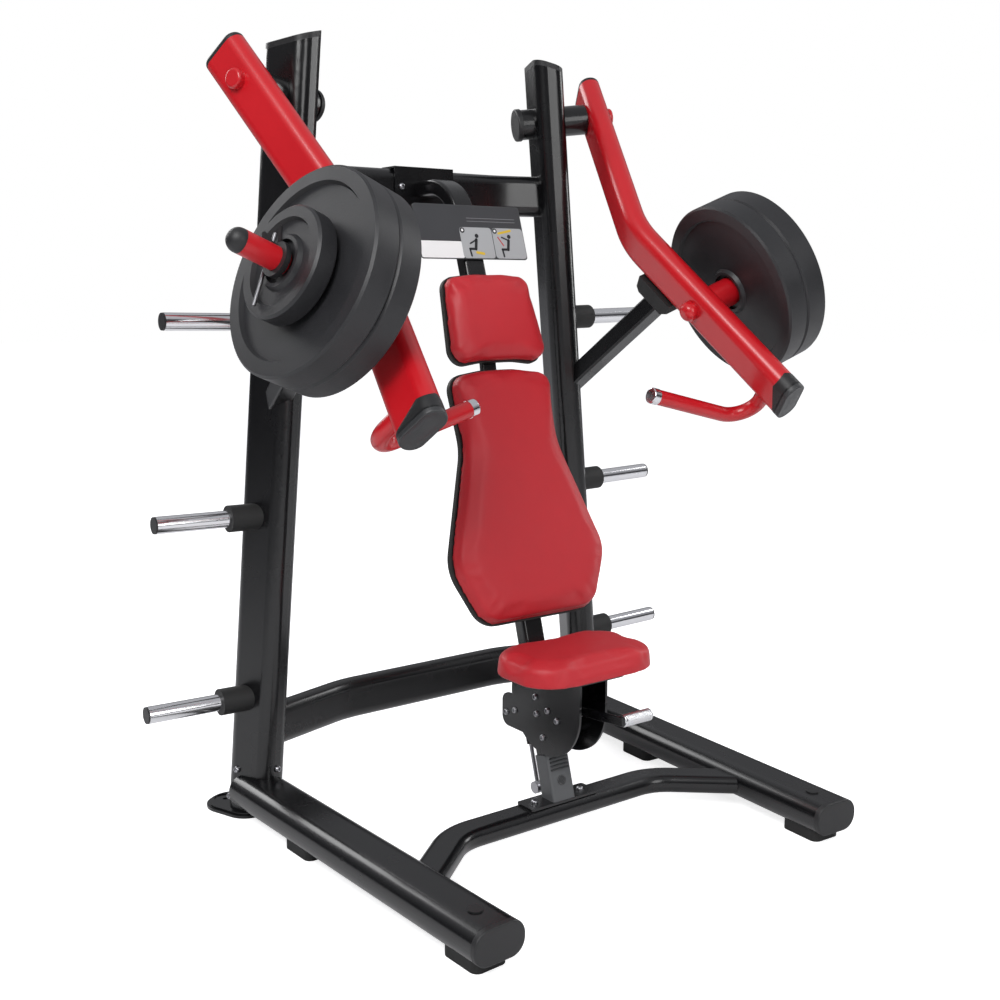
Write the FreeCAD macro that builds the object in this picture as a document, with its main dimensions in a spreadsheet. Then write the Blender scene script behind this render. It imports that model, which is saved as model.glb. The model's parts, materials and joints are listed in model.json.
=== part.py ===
"""Plate-loaded incline chest press machine, as a parametric FreeCAD document.

Millimetres, +Z up, the origin on the floor under the middle of the machine.
-Y is the front, where the user sits facing; +X is the right side seen from the front.
Every piece of the +X side is drawn once and mirrored to the -X side.
"""
import FreeCAD
import Part
import Sketcher
import math
import os

Vector = FreeCAD.Vector
ORIGIN = Vector(0, 0, 0)
UP = Vector(0, 0, 1)
SIDEWAYS = Vector(1, 0, 0)
BACKWARDS = Vector(0, 1, 0)

# Driving dimensions: alias, value, what it is. Lengths in mm, angles in degrees.
DIMENSIONS = [
    # uprights
    ("upright_foot_across", 544.5, "centre of the upright at the floor, from the mid-plane"),
    ("upright_foot_back", 433.5, "the same point, behind the origin"),
    ("upright_lean", 5.0, "lean towards the mid-plane"),
    ("upright_yaw", 21.0, "turn of the oval section"),
    ("upright_oval_long", 135.0, "section, long way"),
    ("upright_oval_short", 83.0, "section, short way"),
    ("upright_corner", 32.0, "section corner radius"),
    ("upright_top", 1892.0, "height of the sloping top cut at the upright's axis"),
    ("upright_top_slope", 15.0, "fall of the top cut towards the outside"),
    ("upright_cap_thick", 13.0, "plastic cap above the cut"),
    ("frame_wall", 4.0, "wall of the frame tubes"),
    ("upper_bolt_along", 28.0, "upper base bolt behind the upright's axis"),
    ("upper_bolt_height", 113.0, "upper base bolt height"),
    ("low_bolt_along", 47.0, "lower base bolt behind the upright's axis"),
    ("low_bolt_height", 40.0, "lower base bolt height"),
    ("front_bolt_height", 124.0, "bolt through the upright's front"),
    # base flanges
    ("flange_long", 182.0, "base flange, along the upright's long way"),
    ("flange_wide", 124.0, "base flange, across"),
    ("flange_thick", 12.0, "base flange thickness"),
    ("flange_shift", 52.0, "flange centre behind the upright's axis"),
    ("flange_step", 7.0, "rim width of the stepped flange"),
    ("flange_step_drop", 5.0, "height of the step"),
    ("anchor_hole", 13.0, "floor anchor hole diameter"),
    ("anchor_recess", 56.0, "round recess about the anchor hole"),
    ("anchor_recess_deep", 3.0, "depth of that recess"),
    ("anchor_back", 104.0, "anchor hole behind the upright's axis"),
    # floor rails
    ("rail_front_across", 500.2, "rail axis at its front end, from the mid-plane"),
    ("rail_front", -553.0, "front end of the rail tube"),
    ("rail_toe", 2.84, "toe-out of the rail"),
    ("rail_wide", 128.0, "rail section width"),
    ("rail_tall", 78.0, "rail section height"),
    ("rail_corner", 36.0, "rail section corner radius"),
    ("rail_height", 64.0, "rail axis above the floor"),
    ("rail_run", 990.0, "rail tube length before it is coped to the upright"),
    ("rail_cap_thick", 14.0, "end cap thickness"),
    ("cap_plug", 22.0, "length of a cap's plug inside its tube"),
    ("rail_plug_size", 32.0, "round plug on the rail's top"),
    ("rail_plug_back", 66.0, "that plug behind the rail's front end"),
    ("foot_long", 112.0, "rubber foot length"),
    ("foot_wide", 84.0, "rubber foot width"),
    ("foot_tall", 25.0, "rubber foot height"),
    ("foot_inset", 12.0, "front foot behind the rail's front end"),
    ("rear_foot_back", 700.0, "second foot behind the rail's front end"),
    # crossbeams
    ("rear_beam_back", 483.0, "straight middle of the rear beams, behind the origin"),
    ("rear_beam_deep", 55.0, "rear beam section, front to back"),
    ("rear_beam_tall", 109.0, "rear beam section, height"),
    ("rear_beam_corner", 26.0, "rear beam corner radius"),
    ("rear_beam_middle", 424.0, "straight middle of a rear beam"),
    ("rear_beam_turn", 16.6, "bend of a rear beam"),
    ("rear_beam_bend", 300.0, "bend radius of a rear beam"),
    ("lower_beam_side", 235.0, "end run of the lower rear beam"),
    ("lower_beam_height", 227.5, "lower rear beam axis height"),
    ("upper_beam_side", 125.0, "end run of the upper rear beam"),
    ("upper_beam_height", 1566.0, "upper rear beam axis height"),
    ("front_beam_ahead", -120.0, "straight middle of the front beam"),
    ("front_beam_wide", 80.0, "front beam section, front to back"),
    ("front_beam_tall", 48.0, "front beam section, height"),
    ("front_beam_corner", 21.0, "front beam corner radius"),
    ("front_beam_middle", 500.0, "straight middle of the front beam"),
    ("front_beam_turn", 40.0, "bend of the front beam"),
    ("front_beam_bend", 150.0, "bend radius of the front beam"),
    ("front_beam_side", 200.0, "end run of the front beam"),
    ("front_beam_height", 62.0, "front beam axis height"),
    # storage horns
    ("horn_low", 305.0, "height of the lowest storage horn at its collar's end"),
    ("horn_mid", 762.0, "height of the middle storage horn"),
    ("horn_high", 1236.0, "height of the highest storage horn"),
    ("horn_tilt", 1.2, "upward tilt of the horns"),
    ("horn_reach", 295.0, "horn tube end from the upright's axis"),
    ("horn_size", 42.0, "horn tube diameter"),
    ("horn_wall", 3.0, "horn tube wall"),
    ("horn_root_size", 41.0, "horn tube diameter under its collar, and its end cap's diameter"),
    ("horn_collar_size", 66.0, "rubber collar diameter"),
    ("horn_collar_reach", 111.0, "collar end from the upright's axis"),
    ("horn_cap_thick", 4.0, "flange of the horn's end cap"),
    ("horn_back", 433.5, "horn axis behind the origin"),
    # arm pivot
    ("pivot_across", 526.0, "pivot point on the arm's axis, from the mid-plane"),
    ("pivot_back", 387.0, "pivot point, behind the origin"),
    ("pivot_height", 1782.0, "pivot point height"),
    ("pivot_yaw", 21.74, "pivot axis turned forwards on its way out"),
    ("pivot_rise", 6.5, "pivot axis raised on its way out"),
    ("housing_size", 80.0, "pivot housing outer diameter"),
    ("housing_bore", 62.0, "pivot housing bore"),
    ("housing_inner_end", -219.0, "inner end of the housing along the pivot axis"),
    ("housing_outer_end", -35.0, "outer end of the housing along the pivot axis"),
    ("bushing_long", 40.0, "pivot bushing length"),
    ("shaft_size", 40.0, "pivot shaft diameter"),
    ("running_clearance", 0.05, "radial clearance of running fits"),
    ("shaft_inner_end", -214.0, "inner end of the pivot shaft"),
    ("cover_size", 86.0, "pivot cover diameter"),
    ("cover_thick", 14.0, "pivot cover thickness"),
    ("pivot_boss_size", 39.0, "closed boss on the arm's outer face"),
    ("pivot_boss_end", 47.0, "outer end of that boss along the pivot axis"),
    # press arms
    ("arm_top_across", 546.0, "upper end of the arm's axis"),
    ("arm_top_back", 445.0, "upper end of the arm's axis"),
    ("arm_top_height", 1851.0, "upper end of the arm's axis"),
    ("arm_bend_across", 428.0, "corner of the arm's axis"),
    ("arm_bend_back", 108.0, "corner of the arm's axis"),
    ("arm_bend_height", 1450.0, "corner of the arm's axis"),
    ("arm_low_across", 525.0, "lower end of the arm's axis"),
    ("arm_low_back", -341.0, "lower end of the arm's axis"),
    ("arm_low_height", 1054.0, "lower end of the arm's axis"),
    ("arm_thick", 58.0, "arm section, across the flats"),
    ("arm_wide", 116.0, "arm section, along the flats"),
    ("arm_corner", 27.5, "arm section corner radius"),
    ("arm_bend", 250.0, "arm bend radius"),
    ("arm_cap_thick", 14.0, "arm end cap thickness"),
    # load sleeves and plates
    ("sleeve_from_bend", 273.0, "sleeve axis below the arm's corner, along the arm"),
    ("sleeve_offset", 90.0, "arm axis to the inner plate's seat, along the sleeve"),
    ("sleeve_size", 50.0, "load sleeve diameter"),
    ("sleeve_inner_end", -147.0, "domed inner end of the sleeve"),
    ("sleeve_outer_end", 264.0, "outer end of the sleeve tube"),
    ("sleeve_hub_size", 72.0, "hub that the plates rest against"),
    ("sleeve_hub_end", 10.0, "outer end of the hub"),
    ("sleeve_cap_long", 28.0, "domed plastic cap on the sleeve"),
    ("large_plate_size", 450.0, "large plate diameter"),
    ("inner_plate_thick", 59.5, "inner large plate"),
    ("outer_plate_thick", 62.3, "outer large plate"),
    ("small_plate_size", 238.0, "small plate diameter"),
    ("small_plate_thick", 47.5, "small plate"),
    ("large_web_size", 382.0, "recessed face of a large plate"),
    ("small_web_size", 186.0, "recessed face of a small plate"),
    ("plate_recess", 9.0, "depth of the recessed faces"),
    ("plate_bore", 50.2, "plate bore"),
    ("plate_hub_size", 92.0, "counterbore about the plate's bore"),
    ("plate_hub_deep", 10.0, "depth of that counterbore"),
    ("plate_edge", 5.0, "rounding of the plates' edges"),
    ("clip_size", 74.0, "clip ring diameter"),
    ("clip_wide", 12.0, "clip ring width"),
    ("clip_gap", 1.0, "clip ring in front of the small plate"),
    ("clip_wire", 8.0, "clip wire diameter"),
    ("clip_wire_low", -95.0, "lower end of the wire, from the sleeve's axis"),
    ("clip_wire_side", -32.0, "wire beside the sleeve's axis"),
    ("clip_wire_long", 150.0, "clip wire length"),
    # handles
    ("handle_start_across", 515.0, "handle axis inside the arm"),
    ("handle_start_back", -297.0, "handle axis inside the arm"),
    ("handle_start_height", 1093.0, "handle axis inside the arm"),
    ("handle_corner_across", 570.0, "corner of the handle's axis"),
    ("handle_corner_back", -178.0, "corner of the handle's axis"),
    ("handle_corner_height", 982.0, "corner of the handle's axis"),
    ("handle_tip_across", 260.0, "free end of the handle"),
    ("handle_tip_back", -144.0, "free end of the handle"),
    ("handle_tip_height", 1060.0, "free end of the handle"),
    ("handle_size", 38.0, "handle diameter"),
    ("handle_wall", 4.0, "handle wall"),
    ("handle_bend", 62.0, "handle bend radius"),
    ("handle_ring", 20.0, "bright end ring of the handle"),
    # stops
    ("stop_from_bend", 142.0, "stop block centre below the arm's corner"),
    ("stop_long", 124.0, "stop block along the arm"),
    ("stop_wide", 64.0, "stop block across the arm"),
    ("stop_thick", 50.0, "stop block thickness"),
    ("stop_gap", 0.3, "stop block to arm, at rest"),
    ("stop_bevel", 24.0, "bevel of the block's lower edges"),
    ("brace_size", 50.0, "brace tube size"),
    ("brace_corner", 6.0, "brace tube corner radius"),
    ("brace_foot_across", 462.0, "brace axis inside the upright"),
    ("brace_foot_back", 415.0, "brace axis inside the upright"),
    ("brace_foot_height", 1043.0, "brace axis inside the upright"),
    # posts
    ("post_wide", 60.0, "post section width"),
    ("post_deep", 40.0, "post section depth"),
    ("post_corner", 8.0, "post corner radius"),
    ("post_wall", 3.0, "post wall"),
    ("lower_post_ahead", -120.0, "lower post axis at its foot"),
    ("lower_post_foot", 92.0, "height of the lower post's foot"),
    ("lower_post_lean", 16.17, "lean of the lower post"),
    ("lower_post_top", 1050.0, "height of the lower post's top"),
    ("upper_post_foot_back", 176.0, "upper post axis at its lower end"),
    ("neck_wide", 42.0, "neck bar width"),
    ("neck_deep", 16.0, "neck bar depth"),
    ("upper_post_lean", 18.0, "lean of the upper post"),
    ("upper_post_foot", 1175.0, "height of the upper post's lower end"),
    ("upper_post_bend", 110.0, "bend radius of the gooseneck"),
    ("gooseneck_height", 1570.0, "height of the gooseneck's level run"),
    # brackets
    ("saddle_wide", 180.0, "saddle bracket width"),
    ("saddle_thick", 5.0, "saddle bracket plate"),
    ("saddle_lip", 60.0, "saddle bracket on the beam's top"),
    ("saddle_drop", 96.0, "saddle bracket down the beam's front"),
    ("foot_bracket_wide", 205.0, "post foot bracket width"),
    ("foot_bracket_deep", 62.0, "post foot bracket, front to back"),
    ("foot_bracket_thick", 6.0, "post foot bracket plate"),
    ("bolt_spread", 71.0, "bracket bolts from the mid-plane"),
    ("bolt_head", 17.0, "button head diameter"),
    ("bolt_head_tall", 8.0, "button head height"),
    ("bolt_shank", 10.0, "bolt shank diameter"),
    ("socket_size", 7.0, "hexagon socket, across the flats"),
    ("socket_deep", 4.0, "hexagon socket depth"),
    # pads
    ("pad_board", 12.0, "plywood board behind a pad"),
    ("pad_foam", 40.0, "foam and cover of the back pads"),
    ("pad_edge", 15.0, "rounding of the back pads' front edge"),
    ("headrest_lean", 18.5, "lean of the headrest"),
    ("headrest_back", 171.0, "headrest board's rear face at its middle"),
    ("headrest_height", 1233.0, "headrest's middle"),
    ("headrest_tall", 234.0, "headrest outline height"),
    ("headrest_arch", 8.0, "rise of the headrest's arched edges"),
    ("headrest_top_half", 122.0, "headrest half width at the top"),
    ("headrest_low_half", 143.0, "headrest half width at the bottom"),
    ("headrest_round", 38.0, "headrest corner radius"),
    ("backrest_lean", 16.7, "lean of the backrest"),
    ("backrest_back", 57.0, "backrest board's rear face at the height below"),
    ("backrest_height", 815.0, "backrest reference height"),
    ("backrest_low", -308.0, "bottom edge of the backrest's outline"),
    ("backrest_low_half", 168.0, "half width at the bottom edge"),
    ("backrest_hip", -160.0, "widest part of the backrest"),
    ("backrest_hip_half", 236.0, "half width there, before rounding"),
    ("backrest_waist", 120.0, "start of the narrow part"),
    ("backrest_waist_half", 142.0, "half width there, before rounding"),
    ("backrest_top", 312.0, "top edge of the backrest's outline"),
    ("backrest_arch", 14.0, "rise of the backrest's arched top"),
    ("backrest_top_half", 150.0, "half width at the top, before rounding"),
    # seat and carriage
    ("seat_half_wide", 190.0, "seat half width"),
    ("seat_front", -300.0, "seat front edge"),
    ("seat_rear", -62.0, "seat rear edge"),
    ("seat_round", 92.0, "seat corner radius"),
    ("seat_bottom", 430.0, "seat pad underside"),
    ("seat_thick", 56.0, "seat pad thickness"),
    ("seat_edge", 22.0, "rounding of the seat's edges"),
    ("seat_base_thick", 6.0, "steel seat base"),
    ("seat_base_half", 75.0, "seat base half width"),
    ("side_plate_inside", 36.0, "carriage plate inner face, from the mid-plane"),
    ("side_plate_thick", 6.0, "carriage plate thickness"),
    ("side_disc_ahead", -120.0, "round front lobe of the carriage plate"),
    ("side_disc_height", 338.0, "round front lobe of the carriage plate"),
    ("side_disc_size", 262.0, "round front lobe of the carriage plate"),
    ("side_lobe_back", 50.0, "rear edge of the rear lobe"),
    ("side_lobe_low", 239.0, "lower edge of the rear lobe"),
    ("side_lobe_high", 324.0, "upper edge of the rear lobe"),
    ("side_lobe_round", 24.0, "corner radius of the rear lobe"),
    ("carriage_bolt", 8.0, "carriage bolt shank diameter"),
    ("carriage_head", 15.0, "carriage bolt head diameter"),
    ("carriage_head_tall", 6.0, "carriage bolt head height"),
    ("slide_gap", 0.05, "slide block to post clearance"),
    ("lever_pivot_ahead", -132.0, "seat lever pivot"),
    ("lever_pivot_height", 321.0, "seat lever pivot"),
    ("lever_front", -333.0, "front end of the seat lever"),
    ("lever_front_height", 340.0, "front end of the seat lever"),
    ("lever_thick", 8.0, "seat lever bar thickness"),
    ("lever_tall", 22.0, "seat lever bar height"),
    ("lever_inside", 8.0, "seat lever bar, inner face from the mid-plane"),
    ("lever_hub_size", 24.0, "seat lever hub diameter"),
    ("grip_size", 30.0, "lever grip diameter"),
    ("grip_long", 84.0, "lever grip length"),
    ("spring_behind", 74.0, "gas spring axis behind the post's axis"),
    ("spring_size", 20.0, "gas spring cylinder diameter"),
    ("spring_rod_size", 10.0, "gas spring rod diameter"),
    ("spring_foot_up", 14.0, "gas spring foot above the post's foot"),
    ("spring_knob_size", 30.0, "gas spring foot diameter"),
    ("boot_wide", 68.0, "post foot cover width"),
    ("boot_tall", 106.0, "post foot cover height along the post"),
    ("boot_thick", 8.0, "post foot cover front wall"),
    # placard
    ("placard_wide", 322.0, "placard width"),
    ("placard_tall", 140.0, "placard height"),
    ("placard_thick", 3.0, "placard sheet"),
    ("placard_round", 8.0, "placard corner radius"),
    ("placard_lean", 18.0, "placard lean"),
    ("placard_back", 241.0, "placard rear face at its centre"),
    ("placard_height", 1453.0, "placard centre height"),
]

document = FreeCAD.newDocument("ChestPress")
dimension_sheet = document.addObject("Spreadsheet::Sheet", "Dimensions")
for row, (alias, value, meaning) in enumerate(DIMENSIONS, start=1):
    dimension_sheet.set(f"A{row}", alias)
    dimension_sheet.set(f"B{row}", str(value))
    dimension_sheet.set(f"C{row}", meaning)
    dimension_sheet.setAlias(f"B{row}", alias)
document.recompute()


class Size:
    """A length or angle from the sheet: its value, and the expression that gives it."""

    def __init__(self, value, text):
        self.value = float(value)
        self.text = text

    def __add__(self, other):
        other = as_size(other)
        return Size(self.value + other.value, f"({self.text} + {other.text})")

    def __sub__(self, other):
        other = as_size(other)
        return Size(self.value - other.value, f"({self.text} - {other.text})")

    def __mul__(self, factor):
        return Size(self.value * factor, f"({self.text} * {factor})")

    def __truediv__(self, divisor):
        return Size(self.value / divisor, f"({self.text} / {divisor})")

    def __neg__(self):
        return Size(-self.value, f"(-1 * {self.text})")


def as_size(number):
    """Turns a plain number into a Size; a Size stays as it is."""
    return number if isinstance(number, Size) else Size(number, str(number))


def cell(alias):
    """The sheet's dimension with this alias."""
    return Size(dimension_sheet.get(alias), f"Dimensions.{alias}")


def mm(alias):
    """The plain value of a dimension, for placing pieces."""
    return float(dimension_sheet.get(alias))


def point(prefix, names=("across", "back", "height")):
    """The point kept in three cells that share a prefix."""
    return Vector(*(mm(f"{prefix}_{name}") for name in names))


# ---------------------------------------------------------------- placements

def placed(origin, forward, sideways=None):
    """A placement at origin whose local Z runs along forward and X as near sideways as it can."""
    z = Vector(forward).normalize()
    if sideways is None:
        sideways = SIDEWAYS if abs(z.x) < 0.999 else BACKWARDS
    x = Vector(sideways)
    x = (x - z * x.dot(z)).normalize()
    y = z.cross(x)
    return FreeCAD.Placement(FreeCAD.Matrix(
        x.x, y.x, z.x, origin.x,
        x.y, y.y, z.y, origin.y,
        x.z, y.z, z.z, origin.z,
        0, 0, 0, 1))


def rotated_z(degrees):
    """The horizontal unit vector at this angle from +X."""
    return Vector(math.cos(math.radians(degrees)), math.sin(math.radians(degrees)), 0)


# ---------------------------------------------------------------- sketches

def new_body(label, placement=None):
    body = document.addObject("PartDesign::Body", label)
    body.Label = label
    if placement is not None:
        body.Placement = placement
    return body


def sketch_on(body, role="XY_Plane", offset=0.0):
    """A new sketch on one of the body's own origin planes, lifted by offset."""
    sketch = body.newObject("Sketcher::SketchObject", "Sketch")
    plane = next(item for item in body.Origin.OriginFeatures if item.Role == role)
    sketch.AttachmentSupport = (plane, "")
    sketch.MapMode = "FlatFace"
    offset = as_size(offset)
    if offset.value:
        sketch.AttachmentOffset = FreeCAD.Placement(Vector(0, 0, offset.value), FreeCAD.Rotation())
        sketch.setExpression("AttachmentOffset.Base.z", offset.text)
    return sketch


def constrain(sketch, kind, *arguments, size=None):
    """Adds a constraint and, where it has a size, binds it to the sheet."""
    if size is None:
        return sketch.addConstraint(Sketcher.Constraint(kind, *arguments))
    index = sketch.addConstraint(Sketcher.Constraint(kind, *arguments, size.value))
    sketch.setExpression(f"Constraints[{index}]", size.text)
    return index


def draw_circle(sketch, size, across=0.0, up=0.0):
    """A circle of this diameter, centred at (across, up)."""
    size, across, up = as_size(size), as_size(across), as_size(up)
    centre = Vector(across.value, up.value, 0)
    index = sketch.addGeometry(Part.Circle(centre, UP, size.value / 2), False)
    constrain(sketch, "Diameter", index, size=size)
    if across.value or up.value:
        constrain(sketch, "DistanceX", -1, 1, index, 3, size=across)
        constrain(sketch, "DistanceY", -1, 1, index, 3, size=up)
    else:
        constrain(sketch, "Coincident", index, 3, -1, 1)
    return index


def draw_polygon(sketch, corners):
    """A closed outline of straight sides; each corner is a pair of sizes from the origin."""
    corners = [(as_size(x), as_size(y)) for x, y in corners]
    count = len(corners)
    first = None
    for i, (x, y) in enumerate(corners):
        next_x, next_y = corners[(i + 1) % count]
        side = Part.LineSegment(Vector(x.value, y.value, 0), Vector(next_x.value, next_y.value, 0))
        index = sketch.addGeometry(side, False)
        first = index if first is None else first
    for i in range(count):
        constrain(sketch, "Coincident", first + i, 2, first + (i + 1) % count, 1)
    for i, (x, y) in enumerate(corners):
        constrain(sketch, "DistanceX", -1, 1, first + i, 1, size=x)
        constrain(sketch, "DistanceY", -1, 1, first + i, 1, size=y)


def draw_rounded_rectangle(sketch, width, height, radius):
    """A rectangle with round corners, centred on the sketch's origin."""
    width, height, radius = as_size(width), as_size(height), as_size(radius)
    half_w, half_h, r = width.value / 2, height.value / 2, radius.value
    quarter = math.pi / 2
    corners = [(half_w - r, -half_h + r, 3), (half_w - r, half_h - r, 0),
               (-half_w + r, half_h - r, 1), (-half_w + r, -half_h + r, 2)]
    sides = [((-half_w + r, -half_h), (half_w - r, -half_h)), ((half_w, -half_h + r), (half_w, half_h - r)),
             ((half_w - r, half_h), (-half_w + r, half_h)), ((-half_w, half_h - r), (-half_w, -half_h + r))]
    indices = []
    for side, (centre_x, centre_y, turn) in zip(sides, corners):
        (x1, y1), (x2, y2) = side
        indices.append(sketch.addGeometry(Part.LineSegment(Vector(x1, y1, 0), Vector(x2, y2, 0)), False))
        circle = Part.Circle(Vector(centre_x, centre_y, 0), UP, r)
        arc = Part.ArcOfCircle(circle, turn * quarter, (turn + 1) * quarter)
        indices.append(sketch.addGeometry(arc, False))
    for i, index in enumerate(indices):
        constrain(sketch, "Tangent", index, 2, indices[(i + 1) % 8], 1)
    for i, kind in ((0, "Horizontal"), (2, "Vertical"), (4, "Horizontal"), (6, "Vertical")):
        constrain(sketch, kind, indices[i])
    for i in (3, 5, 7):
        constrain(sketch, "Equal", indices[1], indices[i])
    constrain(sketch, "Symmetric", indices[0], 1, indices[4], 1, -1, 1)
    constrain(sketch, "Radius", indices[1], size=radius)
    constrain(sketch, "DistanceX", indices[6], 1, indices[2], 1, size=width)
    constrain(sketch, "DistanceY", indices[0], 1, indices[4], 1, size=height)


def draw_tube_run(sketch, runs, turns, radius):
    """A tube maker's path up from the origin: straight runs joined by bends towards +X."""
    radius = as_size(radius)
    position = Vector(0, 0, 0)
    heading = math.pi / 2
    indices = []
    for i, run in enumerate(runs):
        end = position + Vector(math.cos(heading), math.sin(heading), 0) * run.value
        indices.append(sketch.addGeometry(Part.LineSegment(position, end), False))
        position = end
        if i == len(turns):
            break
        turn = math.radians(turns[i].value)
        side = 1 if turn > 0 else -1
        outward = Vector(math.sin(heading), -math.cos(heading), 0) * side
        centre = position + outward * radius.value
        angle = math.atan2(-outward.y, -outward.x)
        circle = Part.Circle(centre, UP, radius.value)
        first, last = (angle - turn, angle) if side > 0 else (angle, angle - turn)
        indices.append(sketch.addGeometry(Part.ArcOfCircle(circle, first, last), False))
        heading -= turn
        spoke = Vector(math.cos(angle - turn), math.sin(angle - turn), 0)
        position = centre + spoke * radius.value
    constrain(sketch, "Coincident", indices[0], 1, -1, 1)
    constrain(sketch, "Vertical", indices[0])
    for i, run in enumerate(runs):
        constrain(sketch, "Distance", indices[2 * i], size=run)
    for i, turn in enumerate(turns):
        before, arc, after = indices[2 * i], indices[2 * i + 1], indices[2 * i + 2]
        enters, leaves = (2, 1) if turn.value > 0 else (1, 2)
        constrain(sketch, "Tangent", before, 2, arc, enters)
        constrain(sketch, "Tangent", arc, leaves, after, 1)
        constrain(sketch, "Radius", arc, size=radius)
        angle = Size(math.radians(abs(turn.value)), f"(abs({turn.text}) * 1 deg)")
        constrain(sketch, "Angle", arc, size=angle)


# ---------------------------------------------------------------- features

def add_pad(body, sketch, length, direction=None):
    """Pads a sketch; a direction leans the pad while its length is still measured squarely."""
    length = as_size(length)
    feature = body.newObject("PartDesign::Pad", "Pad")
    feature.Profile = sketch
    feature.Length = length.value
    feature.setExpression("Length", length.text)
    if direction is not None:
        feature.UseCustomVector = True
        feature.Direction = direction
        feature.AlongSketchNormal = True
    return feature


def add_pocket(body, sketch, depth, reversed_=False):
    """Cuts a sketch into the body, downwards unless reversed."""
    depth = as_size(depth)
    feature = body.newObject("PartDesign::Pocket", "Pocket")
    feature.Profile = sketch
    feature.Length = depth.value
    feature.setExpression("Length", depth.text)
    feature.Reversed = reversed_
    return feature


def add_turning(body, sketch):
    """Turns a half section about the body's Z axis."""
    feature = body.newObject("PartDesign::Revolution", "Revolution")
    feature.Profile = sketch
    feature.ReferenceAxis = (sketch, ["V_Axis"])
    feature.Angle = 360
    return feature


def round_edges(body, feature, radius, chosen):
    """Fillets the feature's edges that chosen(edge) picks."""
    document.recompute()
    radius = as_size(radius)
    names = [f"Edge{i + 1}" for i, edge in enumerate(feature.Shape.Edges) if chosen(edge)]
    fillet = body.newObject("PartDesign::Fillet", "Fillet")
    fillet.Base = (feature, names)
    fillet.Radius = radius.value
    fillet.setExpression("Radius", radius.text)
    return fillet


def lies_at(height):
    """Picks the edges that lie wholly at this height of a body's own frame."""
    def chosen(edge):
        box = edge.BoundBox
        return abs(box.ZMin - height) < 0.01 and abs(box.ZMax - height) < 0.01
    return chosen


def make_bar(label, placement, length, draw, *sizes, start=0.0, direction=None):
    """A body padded from one outline that draw(sketch, *sizes) makes."""
    body = new_body(label, placement)
    sketch = sketch_on(body, offset=start)
    draw(sketch, *sizes)
    add_pad(body, sketch, length, direction)
    return body


def make_tube(label, placement, length, width, height, radius, wall, direction=None):
    """A hollow bar of rounded rectangular section."""
    def draw(sketch):
        draw_rounded_rectangle(sketch, width, height, radius)
        draw_rounded_rectangle(sketch, width - wall * 2, height - wall * 2, radius - wall)
    return make_bar(label, placement, length, draw, direction=direction)


def make_ring(label, placement, length, outer, bore, start=0.0):
    """A round tube along its own Z axis."""
    def draw(sketch):
        draw_circle(sketch, outer)
        draw_circle(sketch, bore)
    return make_bar(label, placement, length, draw, start=start)


def make_rod(label, placement, length, size, start=0.0):
    """A round bar along its own Z axis."""
    return make_bar(label, placement, length, draw_circle, size, start=start)


def make_bent_tube(label, placement, draw_section, runs, turns, radius):
    """A section drawn about the origin and swept up a bent path."""
    body = new_body(label, placement)
    section = sketch_on(body)
    draw_section(section)
    path = sketch_on(body, "XZ_Plane")
    draw_tube_run(path, runs, turns, radius)
    document.recompute()
    pipe = body.newObject("PartDesign::AdditivePipe", "Pipe")
    pipe.Profile = section
    pipe.Spine = path
    return body


def hollow_section(width, height, radius, wall):
    """Returns the drawing function of a hollow rounded section."""
    def draw(sketch):
        draw_rounded_rectangle(sketch, width, height, radius)
        draw_rounded_rectangle(sketch, width - wall * 2, height - wall * 2, radius - wall)
    return draw


def make_boolean(kind, label, base, *tools):
    """Base cut or fused with each tool in turn; the last result carries the label."""
    result = base
    for tool in tools:
        name = label if tool is tools[-1] else f"{label}_step"
        step = document.addObject(f"Part::{kind}", name)
        step.Base = result
        step.Tool = tool
        result = step
    return result


def cut(label, base, *tools):
    return make_boolean("Cut", label, base, *tools)


def fuse(label, base, *tools):
    return make_boolean("Fuse", label, base, *tools)


def mirror(label, source):
    """The same piece on the -X side."""
    twin = document.addObject("Part::Mirroring", label)
    twin.Source = source
    twin.Normal = SIDEWAYS
    twin.Label = label
    return twin


def group(label, pieces):
    """Separate solids that share one node."""
    compound = document.addObject("Part::Compound", label)
    compound.Links = pieces
    compound.Label = label
    return compound


nodes = []


def keep(*pieces):
    """Marks finished pieces as nodes of the machine."""
    nodes.extend(pieces)
    return pieces[0]


def keep_pair(name, piece):
    """Keeps a +X piece as right_NAME with its mirrored twin as left_NAME."""
    piece.Label = f"right_{name}"
    keep(piece, mirror(f"left_{name}", piece))
    return piece


def keep_group_of_sides(name, pieces):
    """Keeps +X pieces and their mirrored twins together as one node."""
    twins = [mirror(f"{name}_twin", piece) for piece in pieces]
    return keep(group(name, list(pieces) + twins))


# ---------------------------------------------------------------- fasteners

def make_bolt(spot, direction, grip, head=None, head_tall=None, shank=None):
    """A button-head bolt with a hexagon socket; spot is under its head."""
    head = head or cell("bolt_head")
    head_tall = head_tall or cell("bolt_head_tall")
    shank = shank or cell("bolt_shank")
    body = new_body("bolt", placed(spot, direction, UP if abs(direction.z) < 0.9 else SIDEWAYS))
    sketch = sketch_on(body)
    draw_circle(sketch, head)
    feature = add_pad(body, sketch, head_tall)
    feature = round_edges(body, feature, head_tall * 0.62, lies_at(head_tall.value))
    socket = sketch_on(body, offset=head_tall)
    draw_hexagon(socket, cell("socket_size"))
    add_pocket(body, socket, cell("socket_deep"))
    stem = sketch_on(body, offset=-as_size(grip))
    draw_circle(stem, shank)
    add_pad(body, stem, as_size(grip) + 1)
    return body


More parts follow.
